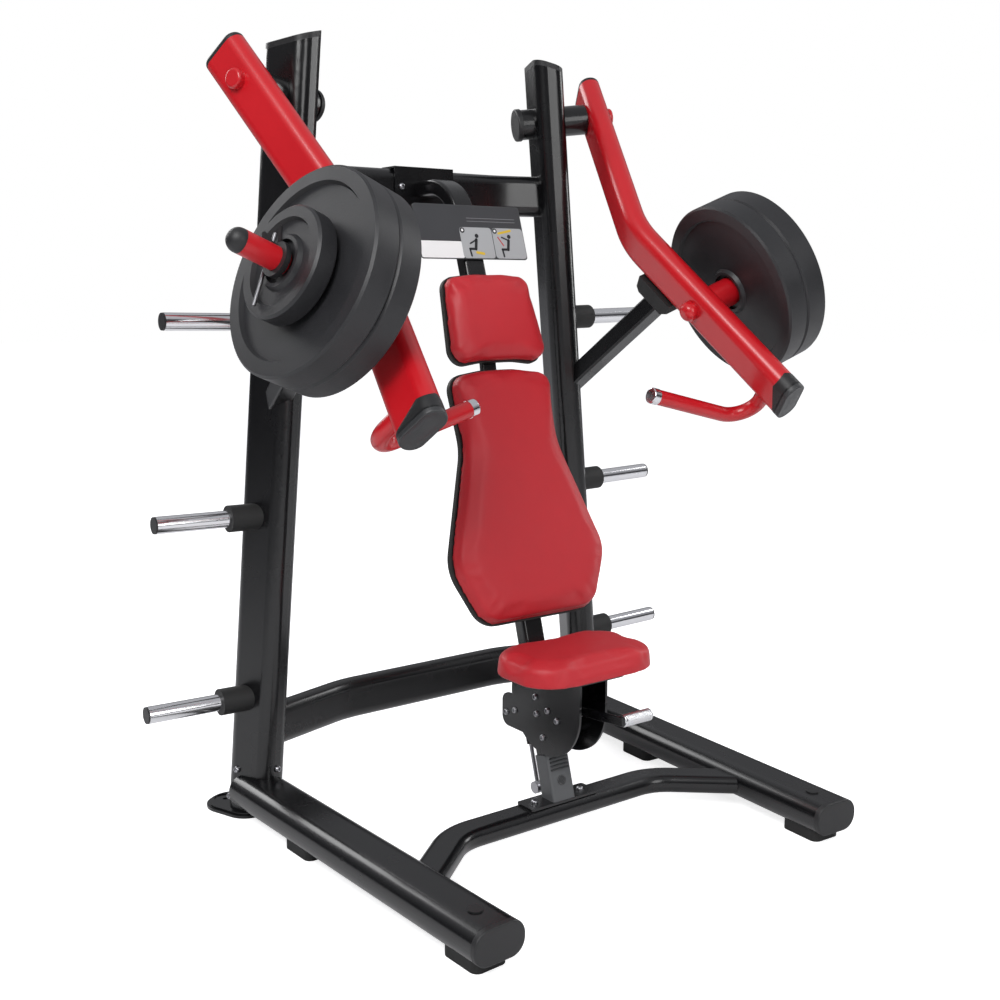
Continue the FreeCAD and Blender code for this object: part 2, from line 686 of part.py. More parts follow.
def draw_hexagon(sketch, across_flats):
    """A regular hexagon about the sketch's origin."""
    radius = across_flats.value / math.sqrt(3)
    corners = [Vector(radius * math.cos(i * math.pi / 3), radius * math.sin(i * math.pi / 3), 0)
               for i in range(6)]
    sides = [sketch.addGeometry(Part.LineSegment(corners[i], corners[(i + 1) % 6]), False) for i in range(6)]
    for i, side in enumerate(sides):
        constrain(sketch, "Coincident", side, 2, sides[(i + 1) % 6], 1)
        constrain(sketch, "Block", side)


# ---------------------------------------------------------------- uprights

WALL = cell("frame_wall")
lean = math.tan(math.radians(mm("upright_lean")))
upright_foot = Vector(mm("upright_foot_across"), mm("upright_foot_back"), 0)
upright_frame = FreeCAD.Placement(upright_foot, FreeCAD.Rotation(UP, -mm("upright_yaw")))
upright_direction = upright_frame.Rotation.inverted().multVec(Vector(-lean, 0, 1))
UPRIGHT_SECTION = (cell("upright_oval_short"), cell("upright_oval_long"), cell("upright_corner"))


def upright_axis(height):
    """The point of the right upright's axis at this height."""
    return upright_foot + Vector(-lean * height, 0, height)


def make_upright_solid(label, height):
    """The upright's outer shape, filled; other tubes are coped to it."""
    return make_bar(label, upright_frame, height, draw_rounded_rectangle, *UPRIGHT_SECTION,
                    direction=upright_direction)


def make_half_space(label, origin, outward, size=5000.0):
    """A block that lies wholly on the outward side of a plane."""
    block = document.addObject("Part::Box", label)
    block.Length = block.Width = block.Height = size
    frame = placed(origin, outward)
    corner = frame.multVec(Vector(-size / 2, -size / 2, 0))
    block.Placement = FreeCAD.Placement(corner, frame.Rotation)
    return block


slope = math.radians(mm("upright_top_slope"))
top_normal = Vector(math.sin(slope), 0, math.cos(slope))
top_point = upright_axis(mm("upright_top"))
cap_point = top_point + top_normal * mm("upright_cap_thick")
envelope_height = cell("upright_top") + 90

pivot_point = point("pivot")
pivot_axis = Vector(math.cos(math.radians(mm("pivot_rise"))) * rotated_z(-mm("pivot_yaw")).x,
                    math.cos(math.radians(mm("pivot_rise"))) * rotated_z(-mm("pivot_yaw")).y,
                    math.sin(math.radians(mm("pivot_rise"))))
pivot_frame = placed(pivot_point, pivot_axis, UP)


def along_pivot(label, maker, first, last, *sizes):
    """A round piece about the pivot axis from one distance to another."""
    return maker(label, pivot_frame, last - first, *sizes, start=first)



def make_base_bolts():
    """The bolts low on the upright: two through its outer flat and one through its front."""
    long_way = upright_frame.Rotation.multVec(BACKWARDS)
    rising = Vector(-lean, 0, 1)
    outside = long_way.cross(rising).normalize()
    half_flat = mm("upright_oval_short") / 2 * outside.dot(upright_frame.Rotation.multVec(SIDEWAYS))
    bolts = []
    for along, height in BASE_BOLTS:
        spot = upright_axis(height) + long_way * along + outside * half_flat
        bolts.append(make_bolt(spot, outside, WALL + 4))
    front = upright_axis(mm("front_bolt_height")) - long_way * (mm("upright_oval_long") / 2 + 0.2)
    bolts.append(make_bolt(front, -long_way, WALL + 4))
    return bolts


BASE_BOLTS = [(mm("upper_bolt_along"), mm("upper_bolt_height")), (mm("low_bolt_along"), mm("low_bolt_height"))]
base_bolts = make_base_bolts()
upright_solid = make_upright_solid("upright_solid", envelope_height)
housing_solid = along_pivot("housing_solid", make_rod, cell("housing_inner_end"),
                            cell("housing_outer_end"), cell("housing_size"))
upright_tube = make_tube("upright_tube", upright_frame, envelope_height, *UPRIGHT_SECTION, WALL,
                         direction=upright_direction)
FLANGE_TOP = cell("flange_thick")
below_flange = make_half_space("below_flange", Vector(*upright_foot[:2], FLANGE_TOP.value), -UP)
above_top = make_half_space("above_top", top_point, top_normal)
keep_pair("upright", cut("upright", upright_tube, above_top, below_flange, housing_solid,
                         *base_bolts))

cap_blank = make_upright_solid("cap_blank", envelope_height)
above_cap = make_half_space("above_cap", cap_point, top_normal)
below_cap = make_half_space("below_cap", top_point, -top_normal)
keep_group_of_sides("upright_caps", [cut("upright_cap", cap_blank, above_cap, below_cap)])

# ---------------------------------------------------------------- base flanges

flange_frame = FreeCAD.Placement(upright_frame)
flange_frame.Base = upright_frame.multVec(Vector(0, mm("flange_shift"), 0))


def make_flange():
    """An oval plate with a stepped rim, an anchor hole and a round recess about it."""
    body = new_body("flange", flange_frame)
    sketch = sketch_on(body)
    draw_rounded_rectangle(sketch, cell("flange_wide"), cell("flange_long"), cell("flange_wide") / 2 - 2)
    add_pad(body, sketch, FLANGE_TOP - cell("flange_step_drop"))
    step = cell("flange_step")
    sketch = sketch_on(body)
    draw_rounded_rectangle(sketch, cell("flange_wide") - step * 2, cell("flange_long") - step * 2,
                           cell("flange_wide") / 2 - step - 2)
    add_pad(body, sketch, FLANGE_TOP)
    anchor = cell("anchor_back") - cell("flange_shift")
    recess = sketch_on(body, offset=FLANGE_TOP)
    draw_circle(recess, cell("anchor_recess"), 0.0, anchor)
    add_pocket(body, recess, cell("anchor_recess_deep"))
    hole = sketch_on(body, offset=FLANGE_TOP)
    draw_circle(hole, cell("anchor_hole"), 0.0, anchor)
    add_pocket(body, hole, FLANGE_TOP + 2)
    return body


# ---------------------------------------------------------------- floor rails

rail_front = Vector(mm("rail_front_across"), mm("rail_front"), mm("rail_height"))
rail_direction = rotated_z(90 - mm("rail_toe"))
rail_frame = placed(rail_front, rail_direction)
RAIL_SECTION = (cell("rail_wide"), cell("rail_tall"), cell("rail_corner"))

plug_point = rail_front + rail_direction * mm("rail_plug_back") + UP * (mm("rail_tall") / 2)


def make_rail_plug():
    """A low button that closes the hole above the foot's screw."""
    frame = FreeCAD.Placement(plug_point, FreeCAD.Rotation())
    body = make_rod("rail_plug", frame, 3.0, cell("rail_plug_size"))
    stem = sketch_on(body, offset=-WALL)
    draw_circle(stem, cell("rail_plug_size") - 6)
    add_pad(body, stem, WALL + 1)
    return body


rail_plug_hole = make_rod("rail_plug_hole", FreeCAD.Placement(plug_point, FreeCAD.Rotation()),
                          20.0, cell("rail_plug_size") - 6, start=-10.0)
rail_tube = make_tube("rail_tube", rail_frame, cell("rail_run"), *RAIL_SECTION, WALL)
rail_solid = make_bar("rail_solid", rail_frame, cell("rail_run"), draw_rounded_rectangle, *RAIL_SECTION)
keep_pair("floor_rail", cut("floor_rail", rail_tube, upright_solid, rail_plug_hole))
keep_group_of_sides("rail_plugs", [make_rail_plug()])


def make_end_cap(label, placement, section, thick, wall, edge):
    """A plastic end cap: a rounded plate outside the tube and a plug inside it."""
    width, height, radius = section
    body = new_body(label, placement)
    plate = sketch_on(body)
    draw_rounded_rectangle(plate, width, height, radius)
    feature = add_pad(body, plate, thick)
    round_edges(body, feature, edge, lies_at(thick.value))
    plug = sketch_on(body, offset=-cell("cap_plug"))
    draw_rounded_rectangle(plug, width - wall * 2, height - wall * 2, radius - wall)
    add_pad(body, plug, cell("cap_plug") + 1)
    return body


front_cap_frame = placed(rail_front, -rail_direction)
keep_group_of_sides("rail_end_caps", [
    make_end_cap("rail_end_cap", front_cap_frame, RAIL_SECTION, cell("rail_cap_thick"), WALL, 4.0)])


def make_foot(distance):
    """A rubber foot under the rail, centred this far behind its front end."""
    spot = rail_front + rail_direction * distance
    frame = placed(Vector(spot.x, spot.y, 0), UP, rail_direction)
    body = make_bar("foot", frame, cell("foot_tall") + 8, draw_rounded_rectangle,
                    cell("foot_long"), cell("foot_wide"), 18.0)
    return cut("rubber_foot", body, rail_solid)


front_foot = mm("foot_inset") + mm("foot_long") / 2
keep_group_of_sides("rubber_feet", [make_foot(front_foot), make_foot(mm("rear_foot_back"))])

flange_blank = make_flange()
keep_group_of_sides("base_flanges", [flange_blank])

# ---------------------------------------------------------------- crossbeams


def make_crossbeam(label, section, sizes, side, middle_at, backwards):
    """A tube bent at both ends, level, running from -X to +X through middle_at."""
    middle, turn, radius = sizes
    angle = math.radians(turn.value)
    reach = (middle.value / 2 + radius.value * math.sin(angle) + side.value * math.cos(angle))
    drop = radius.value * (1 - math.cos(angle)) + side.value * math.sin(angle)
    start = middle_at + Vector(-reach, -drop * backwards, 0)
    heading = rotated_z(turn.value * backwards)
    inside = Vector(0, 0, -1 * backwards).cross(heading)
    frame = placed(start, heading, inside)
    return make_bent_tube(label, frame, section, [side, middle, side], [turn, turn], radius)


rear_section = hollow_section(cell("rear_beam_deep"), cell("rear_beam_tall"), cell("rear_beam_corner"), WALL)
rear_sizes = (cell("rear_beam_middle"), cell("rear_beam_turn"), cell("rear_beam_bend"))
left_upright_solid = mirror("left_upright_solid", upright_solid)
left_rail_solid = mirror("left_rail_solid", rail_solid)


def make_rear_beam(name):
    """A rear crossbeam coped to both uprights."""
    middle_at = Vector(0, mm("rear_beam_back"), mm(f"{name}_beam_height"))
    beam = make_crossbeam(f"{name}_beam", rear_section, rear_sizes, cell(f"{name}_beam_side"), middle_at, 1)
    return cut(f"{name}_rear_crossbeam", beam, upright_solid, left_upright_solid)


lower_rear_crossbeam = keep(make_rear_beam("lower"))
upper_rear_crossbeam = keep(make_rear_beam("upper"))

front_section = hollow_section(cell("front_beam_wide"), cell("front_beam_tall"),
                               cell("front_beam_corner"), WALL)
front_beam = make_crossbeam("front_beam", front_section,
                            (cell("front_beam_middle"), cell("front_beam_turn"), cell("front_beam_bend")),
                            cell("front_beam_side"),
                            Vector(0, mm("front_beam_ahead"), mm("front_beam_height")), 1)
keep(cut("front_crossbeam", front_beam, rail_solid, left_rail_solid))

# ---------------------------------------------------------------- storage horns


def horn_frame(height):
    """The frame of a horn: Z outwards, its origin on the upright's axis."""
    tilt = math.radians(mm("horn_tilt"))
    rise = mm("horn_collar_reach") * math.tan(tilt)
    axis_point = upright_axis(height)
    origin = Vector(axis_point.x, mm("horn_back"), height - rise)
    return placed(origin, Vector(math.cos(tilt), 0, math.sin(tilt)), UP)


def make_horn_set():
    """Tubes, collars and caps of the three horns of one side."""
    tubes, collars, caps = [], [], []
    for name in ("low", "mid", "high"):
        frame = horn_frame(mm(f"horn_{name}"))
        reach = cell("horn_reach")
        size, root_size = cell("horn_size"), cell("horn_root_size")
        bore = size - cell("horn_wall") * 2
        shoulder = cell("horn_collar_reach")
        root = make_ring("horn_root", frame, shoulder, root_size, bore)
        length = make_ring("horn_length", frame, reach - shoulder, size, bore, start=shoulder)
        tubes.append(cut("horn", fuse("horn_blank", root, length), upright_solid))
        collar = make_ring("collar_blank", frame, shoulder, cell("horn_collar_size"), root_size)
        collars.append(cut("collar", collar, upright_solid))
        cap = make_rod("horn_cap", frame, cell("horn_cap_thick"), root_size, start=reach)
        plug = sketch_on(cap, offset=reach - cell("cap_plug"))
        draw_circle(plug, bore)
        add_pad(cap, plug, cell("cap_plug") + 1)
        caps.append(cap)
    return tubes, collars, caps


horn_tubes, horn_collars, horn_caps = make_horn_set()
keep_group_of_sides("storage_horns", horn_tubes)
keep_group_of_sides("horn_collars", horn_collars)
keep_group_of_sides("horn_end_caps", horn_caps)

# ---------------------------------------------------------------- arm pivots

housing = along_pivot("housing", make_ring, cell("housing_inner_end"), cell("housing_outer_end"),
                      cell("housing_size"), cell("housing_bore"))
keep_group_of_sides("pivot_housings", [housing])
bushing_bore = cell("shaft_size") + cell("running_clearance") * 2
bushing_starts = (cell("housing_inner_end") + 6, cell("housing_outer_end") - cell("bushing_long"))
keep_group_of_sides("pivot_bushings", [
    make_ring("bushing", pivot_frame, cell("bushing_long"), cell("housing_bore"), bushing_bore, start=start)
    for start in bushing_starts])


def make_pivot_cover():
    """A round cover over the housing's inner end."""
    frame = placed(pivot_frame.multVec(Vector(0, 0, mm("housing_inner_end"))), -pivot_axis, UP)
    body = new_body("pivot_cover", frame)
    disc = sketch_on(body)
    draw_circle(disc, cell("cover_size"))
    feature = add_pad(body, disc, cell("cover_thick"))
    round_edges(body, feature, 4.0, lies_at(cell("cover_thick").value))
    return body


keep_group_of_sides("pivot_covers", [make_pivot_cover()])

# ---------------------------------------------------------------- press arms

arm_top, arm_corner, arm_low = point("arm_top"), point("arm_bend"), point("arm_low")
upper_run = arm_corner - arm_top
lower_run = arm_low - arm_corner
upper_direction = Vector(upper_run).normalize()
lower_direction = Vector(lower_run).normalize()
bend_normal = upper_direction.cross(lower_direction).normalize()
arm_turn = math.degrees(upper_direction.getAngle(lower_direction))
tangent = mm("arm_bend") * math.tan(math.radians(arm_turn) / 2)
arm_frame = placed(arm_top, upper_direction, lower_direction)
outward = bend_normal.cross(lower_direction).normalize()
low_frame = placed(arm_low, lower_direction, outward)
ARM_SECTION = (cell("arm_thick"), cell("arm_wide"), cell("arm_corner"))
ARM_RUNS = [as_size(upper_run.Length - tangent), as_size(lower_run.Length - tangent)]

shaft_solid = along_pivot("shaft_solid", make_rod, cell("shaft_inner_end"), cell("pivot_boss_end") - 8,
                          cell("shaft_size"))
sleeve_center = arm_corner + lower_direction * mm("sleeve_from_bend")
sleeve_seat = sleeve_center + outward * mm("sleeve_offset")
sleeve_frame = placed(sleeve_seat, outward, UP)
sleeve_solid = make_rod("sleeve_solid", sleeve_frame, 200.0, cell("sleeve_size"), start=-190.0)
handle_start, handle_corner, handle_tip = (point(f"handle_{name}") for name in ("start", "corner", "tip"))


def handle_geometry():
    """Placement, runs and turn of the handle's bent tube."""
    first, second = handle_corner - handle_start, handle_tip - handle_corner
    turn = math.degrees(first.getAngle(second))
    tangent = mm("handle_bend") * math.tan(math.radians(turn) / 2)
    frame = placed(handle_start, first, second)
    runs = [as_size(first.Length - tangent), as_size(second.Length - tangent - mm("handle_ring"))]
    return frame, runs, as_size(turn)


handle_frame, handle_runs, handle_turn = handle_geometry()


def handle_section(sketch):
    """The round hollow section of the handle."""
    draw_circle(sketch, cell("handle_size"))
    draw_circle(sketch, cell("handle_size") - cell("handle_wall") * 2)


handle_tube = make_bent_tube("handle_tube", handle_frame, handle_section, handle_runs,
                             [handle_turn], cell("handle_bend"))
arm_tube = make_bent_tube("arm_tube", arm_frame, hollow_section(*ARM_SECTION, WALL), ARM_RUNS,
                          [as_size(arm_turn)], cell("arm_bend"))
arm_solid = make_bent_tube("arm_solid", arm_frame, lambda sketch: draw_rounded_rectangle(sketch, *ARM_SECTION),
                           ARM_RUNS, [as_size(arm_turn)], cell("arm_bend"))


def make_pivot_boss():
    """The closed boss that holds the shaft's end on the arm's outer face."""
    body = new_body("pivot_boss", pivot_frame)
    sketch = sketch_on(body, offset=cell("arm_thick") / 2 - 4)
    draw_circle(sketch, cell("pivot_boss_size") + 8)
    feature = add_pad(body, sketch, cell("pivot_boss_end") - cell("arm_thick") / 2 + 4)
    round_edges(body, feature, 7.0, lies_at(mm("pivot_boss_end")))
    return body


boss = cut("pivot_boss_outside", make_pivot_boss(), arm_solid)
arm_with_boss = fuse("arm_with_boss", arm_tube, boss)
keep_pair("press_arm", cut("press_arm", arm_with_boss, shaft_solid, sleeve_solid))
keep_pair("pivot_shaft", shaft_solid)
keep_pair("handle", cut("handle", handle_tube, arm_solid))


def make_handle_ring():
    """The bright end ring, with its plug inside the handle."""
    direction = handle_tip - handle_corner
    direction.normalize()
    frame = placed(handle_tip - direction * mm("handle_ring"), direction)
    body = new_body("handle_ring", frame)
    sketch = sketch_on(body)
    draw_circle(sketch, cell("handle_size") + 2)
    feature = add_pad(body, sketch, cell("handle_ring"))
    round_edges(body, feature, 3.0, lies_at(mm("handle_ring")))
    plug = sketch_on(body, offset=-cell("cap_plug"))
    draw_circle(plug, cell("handle_size") - cell("handle_wall") * 2)
    add_pad(body, plug, cell("cap_plug") + 1)
    return body


keep_pair("handle_ring", make_handle_ring())


# ---------------------------------------------------------------- load sleeves and arm caps

def make_sleeve():
    """The load sleeve: a round bar through the arm with a hub that the plates rest against."""
    body = new_body("sleeve", sleeve_frame)
    bar = sketch_on(body, offset=cell("sleeve_inner_end"))
    draw_circle(bar, cell("sleeve_size"))
    feature = add_pad(body, bar, cell("sleeve_outer_end") - cell("sleeve_inner_end"))
    round_edges(body, feature, 18.0, lies_at(mm("sleeve_inner_end")))
    hub_start = cell("arm_thick") / 2 - cell("sleeve_offset")
    hub = sketch_on(body, offset=hub_start)
    draw_circle(hub, cell("sleeve_hub_size"))
    add_pad(body, hub, cell("sleeve_hub_end") - hub_start)
    return body


def make_sleeve_cap():
    """The domed plastic cap on the sleeve's outer end."""
    frame = FreeCAD.Placement(sleeve_frame)
    frame.Base = sleeve_frame.multVec(Vector(0, 0, mm("sleeve_outer_end")))
    body = new_body("sleeve_cap", frame)
    sketch = sketch_on(body)
    draw_circle(sketch, cell("sleeve_size"))
    feature = add_pad(body, sketch, cell("sleeve_cap_long"))
    round_edges(body, feature, cell("sleeve_size") / 2 - 1, lies_at(mm("sleeve_cap_long")))
    return body


top_cap_frame = placed(arm_top, -upper_direction, bend_normal.cross(upper_direction))
arm_caps = [make_end_cap("arm_cap", frame, ARM_SECTION, cell("arm_cap_thick"), WALL, 9.0)
            for frame in (top_cap_frame, low_frame)]
keep_pair("load_sleeve", make_sleeve())
keep_pair("arm_caps", group("arm_caps", arm_caps + [make_sleeve_cap()]))

# ---------------------------------------------------------------- weight plates


def make_plate(label, start, thick, size, web):
    """A turned plate: rim, recessed web on both faces, counterbored hub and bore."""
    recess, hub_deep = cell("plate_recess"), cell("plate_hub_deep")
    bore, hub = cell("plate_bore") / 2, cell("plate_hub_size") / 2
    edge = cell("plate_edge")
    end = start + thick
    outer, web_edge = size / 2, web / 2
    web_low, web_high = start + recess, end - recess
    body = new_body(label, sleeve_frame)
    sketch = sketch_on(body, "XZ_Plane")
    draw_polygon(sketch, [
        (bore, start + hub_deep), (hub, start + hub_deep), (hub, start), (hub + 8, start),
        (hub + 14, web_low), (web_edge - 5, web_low), (web_edge, start), (outer - edge, start),
        (outer, start + edge), (outer, end - edge), (outer - edge, end), (web_edge, end),
        (web_edge - 5, web_high), (hub + 14, web_high), (hub + 8, end), (hub, end),
        (hub, end - hub_deep), (bore, end - hub_deep)])
    add_turning(body, sketch)
    return body


outer_start = cell("inner_plate_thick")
small_start = outer_start + cell("outer_plate_thick")
large_plates = [
    make_plate("large_plate", as_size(0), cell("inner_plate_thick"), cell("large_plate_size"),
               cell("large_web_size")),
    make_plate("large_plate", outer_start, cell("outer_plate_thick"), cell("large_plate_size"),
               cell("large_web_size"))]
keep_pair("large_plates", group("large_plates", large_plates))
keep_pair("small_plate", make_plate("small_plate", small_start, cell("small_plate_thick"),
                                    cell("small_plate_size"), cell("small_web_size")))
clip_start = small_start + cell("small_plate_thick") + cell("clip_gap")


def make_clip():
    """A spring clip: a ring round the sleeve and a straight wire that passes behind the sleeve."""
    ring = make_ring("clip_ring", sleeve_frame, cell("clip_wide"), cell("clip_size"),
                     cell("plate_bore"), start=clip_start)
    middle = clip_start.value + mm("clip_wide") / 2
    wire_start = sleeve_frame.multVec(Vector(mm("clip_wire_low"), mm("clip_wire_side"), middle))
    frame = placed(wire_start, sleeve_frame.Rotation.multVec(Vector(1, 0, 0)))
    wire = make_rod("clip_wire", frame, cell("clip_wire_long"), cell("clip_wire"))
    return fuse("clip", ring, wire)


keep_pair("clip", make_clip())


# ---------------------------------------------------------------- stops

def make_stop_block():
    """The rubber block that the resting arm lies on, bevelled at both ends."""
    top = arm_corner + lower_direction * mm("stop_from_bend") - bend_normal * (
        mm("arm_wide") / 2 + mm("stop_gap"))
    body = new_body("stop_block", placed(top, -bend_normal, lower_direction))
    half, thick, bevel = cell("stop_long") / 2, cell("stop_thick"), cell("stop_bevel")
    sketch = sketch_on(body, "XZ_Plane", offset=-cell("stop_wide") / 2)
    draw_polygon(sketch, [(-half, 0.0), (half, 0.0), (half, thick - bevel), (half - bevel, thick),
                          (-half + bevel / 2, thick), (-half, thick - bevel / 2)])
    add_pad(body, sketch, cell("stop_wide"))
    return body, top - bend_normal * mm("stop_thick")


stop_block, brace_head = make_stop_block()
brace_foot = point("brace_foot")
brace_run = brace_head - brace_foot
brace_tube = make_tube("brace_tube", placed(brace_foot, brace_run), as_size(brace_run.Length + 22),
                       cell("brace_size"), cell("brace_size"), cell("brace_corner"), WALL)
beyond_block = make_half_space("beyond_block", brace_head, bend_normal)
keep_group_of_sides("stop_braces", [cut("stop_brace", brace_tube, upright_solid, beyond_block)])
keep_group_of_sides("stop_bumpers", [stop_block])


# ---------------------------------------------------------------- posts

def leaning(degrees):
    """The upward unit vector that leans backwards by this angle."""
    return Vector(0, math.sin(math.radians(degrees)), math.cos(math.radians(degrees)))


POST_SECTION = (cell("post_wide"), cell("post_deep"), cell("post_corner"))
lower_post_direction = leaning(mm("lower_post_lean"))
lower_post_foot = Vector(0, mm("lower_post_ahead"), mm("lower_post_foot"))
lower_post_run = (mm("lower_post_top") - mm("lower_post_foot")) / lower_post_direction.z
lower_post_frame = placed(lower_post_foot, lower_post_direction)
POST_TAIL = 30
post_start_frame = placed(lower_post_foot - lower_post_direction * POST_TAIL, lower_post_direction)
below_post = make_half_space("below_post", lower_post_foot, -UP)
lower_post_tube = make_tube("lower_post_tube", post_start_frame, as_size(lower_post_run + POST_TAIL),
                            *POST_SECTION, cell("post_wall"))
lower_post_solid = make_bar("lower_post_solid", post_start_frame, as_size(lower_post_run + POST_TAIL),
                            draw_rounded_rectangle, *POST_SECTION)
keep(cut("lower_post", lower_post_tube, below_post))

upper_post_direction = leaning(mm("upper_post_lean"))
upper_post_foot = Vector(0, mm("upper_post_foot_back"), mm("upper_post_foot"))
saddle_front = mm("rear_beam_back") - mm("rear_beam_deep") / 2 - mm("saddle_thick")


def make_upper_post(label, section):
    """The gooseneck: up along its lean, then bent back to level as far as the saddle bracket."""
    turn = 90 - mm("upper_post_lean")
    tangent = mm("upper_post_bend") * math.tan(math.radians(turn) / 2)
    straight = (mm("gooseneck_height") - mm("upper_post_foot")) / upper_post_direction.z
    corner = upper_post_foot + upper_post_direction * straight
    runs = [as_size(straight - tangent), as_size(saddle_front - corner.y - tangent)]
    frame = placed(upper_post_foot, upper_post_direction, Vector(0, 1, 0))
    return make_bent_tube(label, frame, section, runs, [as_size(turn)], cell("upper_post_bend"))


upper_post = keep(make_upper_post("upper_post", hollow_section(
    cell("post_deep"), cell("post_wide"), cell("post_corner"), cell("post_wall"))))
upper_post_solid = make_bar("upper_post_solid", placed(upper_post_foot, upper_post_direction), 340.0,
                            draw_rounded_rectangle, *POST_SECTION)


def make_neck_bar():
    """A flat bar between the two posts, with a plug inside the end of each."""
    lower_top = lower_post_foot + lower_post_direction * lower_post_run
    run = upper_post_foot - lower_top
    start = lower_top - run * (10 / run.Length)
    bar = make_bar("neck_bar_middle", placed(start, run), as_size(run.Length + 20),
                   draw_rounded_rectangle, cell("neck_wide"), cell("neck_deep"), 3.0)
    inside = [size - cell("post_wall") * 2 for size in POST_SECTION[:2]] + [cell("post_corner") - cell("post_wall")]
    plugs = [make_bar("neck_plug", placed(spot, direction), 18.0, draw_rounded_rectangle, *inside)
             for spot, direction in ((lower_top - lower_post_direction * 18, lower_post_direction),
                                     (upper_post_foot, upper_post_direction))]
    return fuse("neck_bar", bar, *plugs)


keep(make_neck_bar())

# ---------------------------------------------------------------- brackets


def make_saddle_bracket(bolts):
    """An angle plate over the top and front of the upper rear beam."""
    thick = cell("saddle_thick")
    beam_top = cell("upper_beam_height") + cell("rear_beam_tall") / 2
    front = cell("rear_beam_back") - cell("rear_beam_deep") / 2
    body = new_body("saddle", FreeCAD.Placement(Vector(-mm("saddle_wide") / 2, 0, 0), FreeCAD.Rotation()))
    sketch = sketch_on(body, "YZ_Plane")
    draw_polygon(sketch, [
        (front - thick, beam_top + thick - cell("saddle_drop")), (front, beam_top + thick - cell("saddle_drop")),
        (front, beam_top), (front + cell("saddle_lip"), beam_top),
        (front + cell("saddle_lip"), beam_top + thick), (front - thick, beam_top + thick)])
    add_pad(body, sketch, cell("saddle_wide"))
    return cut("saddle_bracket", body, *bolts)


def make_foot_bracket(bolts):
    """A flat plate on the front beam that carries the lower post."""
    spot = Vector(0, mm("front_beam_ahead"), mm("front_beam_height") + mm("front_beam_tall") / 2)
    body = make_bar("foot_plate", FreeCAD.Placement(spot, FreeCAD.Rotation()), cell("foot_bracket_thick"),
                    draw_rounded_rectangle, cell("foot_bracket_wide"), cell("foot_bracket_deep"), 8.0)
    return cut("post_foot_bracket", body, *bolts)


spread = mm("bolt_spread")
saddle_bolts = [make_bolt(Vector(side * spread, saddle_front, 1575), Vector(0, -1, 0), cell("saddle_thick"))
                for side in (-1, 1)]
foot_bolts = [make_bolt(Vector(side * spread, mm("front_beam_ahead"), mm("lower_post_foot")), UP,
                        cell("foot_bracket_thick")) for side in (-1, 1)]
keep(make_saddle_bracket(saddle_bolts), make_foot_bracket(foot_bolts))


def make_post_boot():
    """The ribbed plastic cover round the front and sides of the lower post's foot."""
    shift = mm("boot_thick") / 2
    origin = lower_post_frame.multVec(Vector(0, -shift, -POST_TAIL))
    body = make_bar("boot_blank", placed(origin, lower_post_direction), cell("boot_tall") + POST_TAIL,
                    draw_rounded_rectangle, cell("boot_wide"), cell("post_deep") + cell("boot_thick"), 6.0)
    return cut("post_boot", body, lower_post_solid, below_post)


keep(make_post_boot())

# ---------------------------------------------------------------- back pads


def draw_round_cornered(sketch, corners):
    """A closed outline of straight sides with an arc at each corner (across, up, radius)."""
    count = len(corners)
    points = [Vector(x, y, 0) for x, y, radius in corners]
    trimmed = []
    for i, (x, y, radius) in enumerate(corners):
        before = (points[i - 1] - points[i]).normalize()
        after = (points[(i + 1) % count] - points[i]).normalize()
        half = before.getAngle(after) / 2
        reach = radius / math.tan(half)
        middle = points[i] + (before + after).normalize() * (radius / math.sin(half) - radius)
        trimmed.append((points[i] + before * reach, middle, points[i] + after * reach))
    indices = []
    for i, (enters, middle, leaves) in enumerate(trimmed):
        indices.append(sketch.addGeometry(Part.Arc(enters, middle, leaves).toShape().Curve.trim(
            *Part.Arc(enters, middle, leaves).toShape().ParameterRange), False))
        indices.append(sketch.addGeometry(Part.LineSegment(leaves, trimmed[(i + 1) % count][0]), False))
    for index in indices:
        constrain(sketch, "Block", index)


def mirrored_outline(half):
    """The whole outline from its +X half, listed from bottom to top."""
    return half + [(-x, y, radius) for x, y, radius in reversed(half)]


half_tall, arch = mm("headrest_tall") / 2, mm("headrest_arch")
HEADREST_OUTLINE = mirrored_outline([
    (50.0, -half_tall + arch * 1.6, 160.0),
    (mm("headrest_low_half"), -half_tall, mm("headrest_round")),
    (mm("headrest_top_half"), half_tall - arch, mm("headrest_round")),
    (50.0, half_tall, 160.0)])
BACKREST_OUTLINE = mirrored_outline([
    (mm("backrest_low_half"), mm("backrest_low"), 70.0),
    (mm("backrest_hip_half"), mm("backrest_hip"), 110.0),
    (mm("backrest_waist_half"), mm("backrest_waist"), 160.0),
    (mm("backrest_top_half"), mm("backrest_top") - mm("backrest_arch"), 44.0),
    (50.0, mm("backrest_top"), 160.0)])


def make_pad(name, outline):
    """The foam of a back pad, and its board behind it."""
    lean_angle = mm(f"{name}_lean")
    rear = Vector(0, mm(f"{name}_back"), mm(f"{name}_height"))
    up_slope = leaning(lean_angle)
    forward = SIDEWAYS.cross(up_slope)
    frame = placed(rear, forward, SIDEWAYS)
    board = make_bar(f"{name}_board", frame, cell("pad_board"), draw_round_cornered, outline)
    foam = new_body(name, frame)
    sketch = sketch_on(foam, offset=cell("pad_board"))
    draw_round_cornered(sketch, outline)
    feature = add_pad(foam, sketch, cell("pad_foam"))
    round_edges(foam, feature, cell("pad_edge"), lies_at(mm("pad_board") + mm("pad_foam")))
    return foam, board, frame


headrest, headrest_board, headrest_frame = make_pad("headrest", HEADREST_OUTLINE)
backrest, backrest_board, backrest_frame = make_pad("backrest", BACKREST_OUTLINE)
keep(headrest, backrest, group("pad_boards", [headrest_board, backrest_board]))


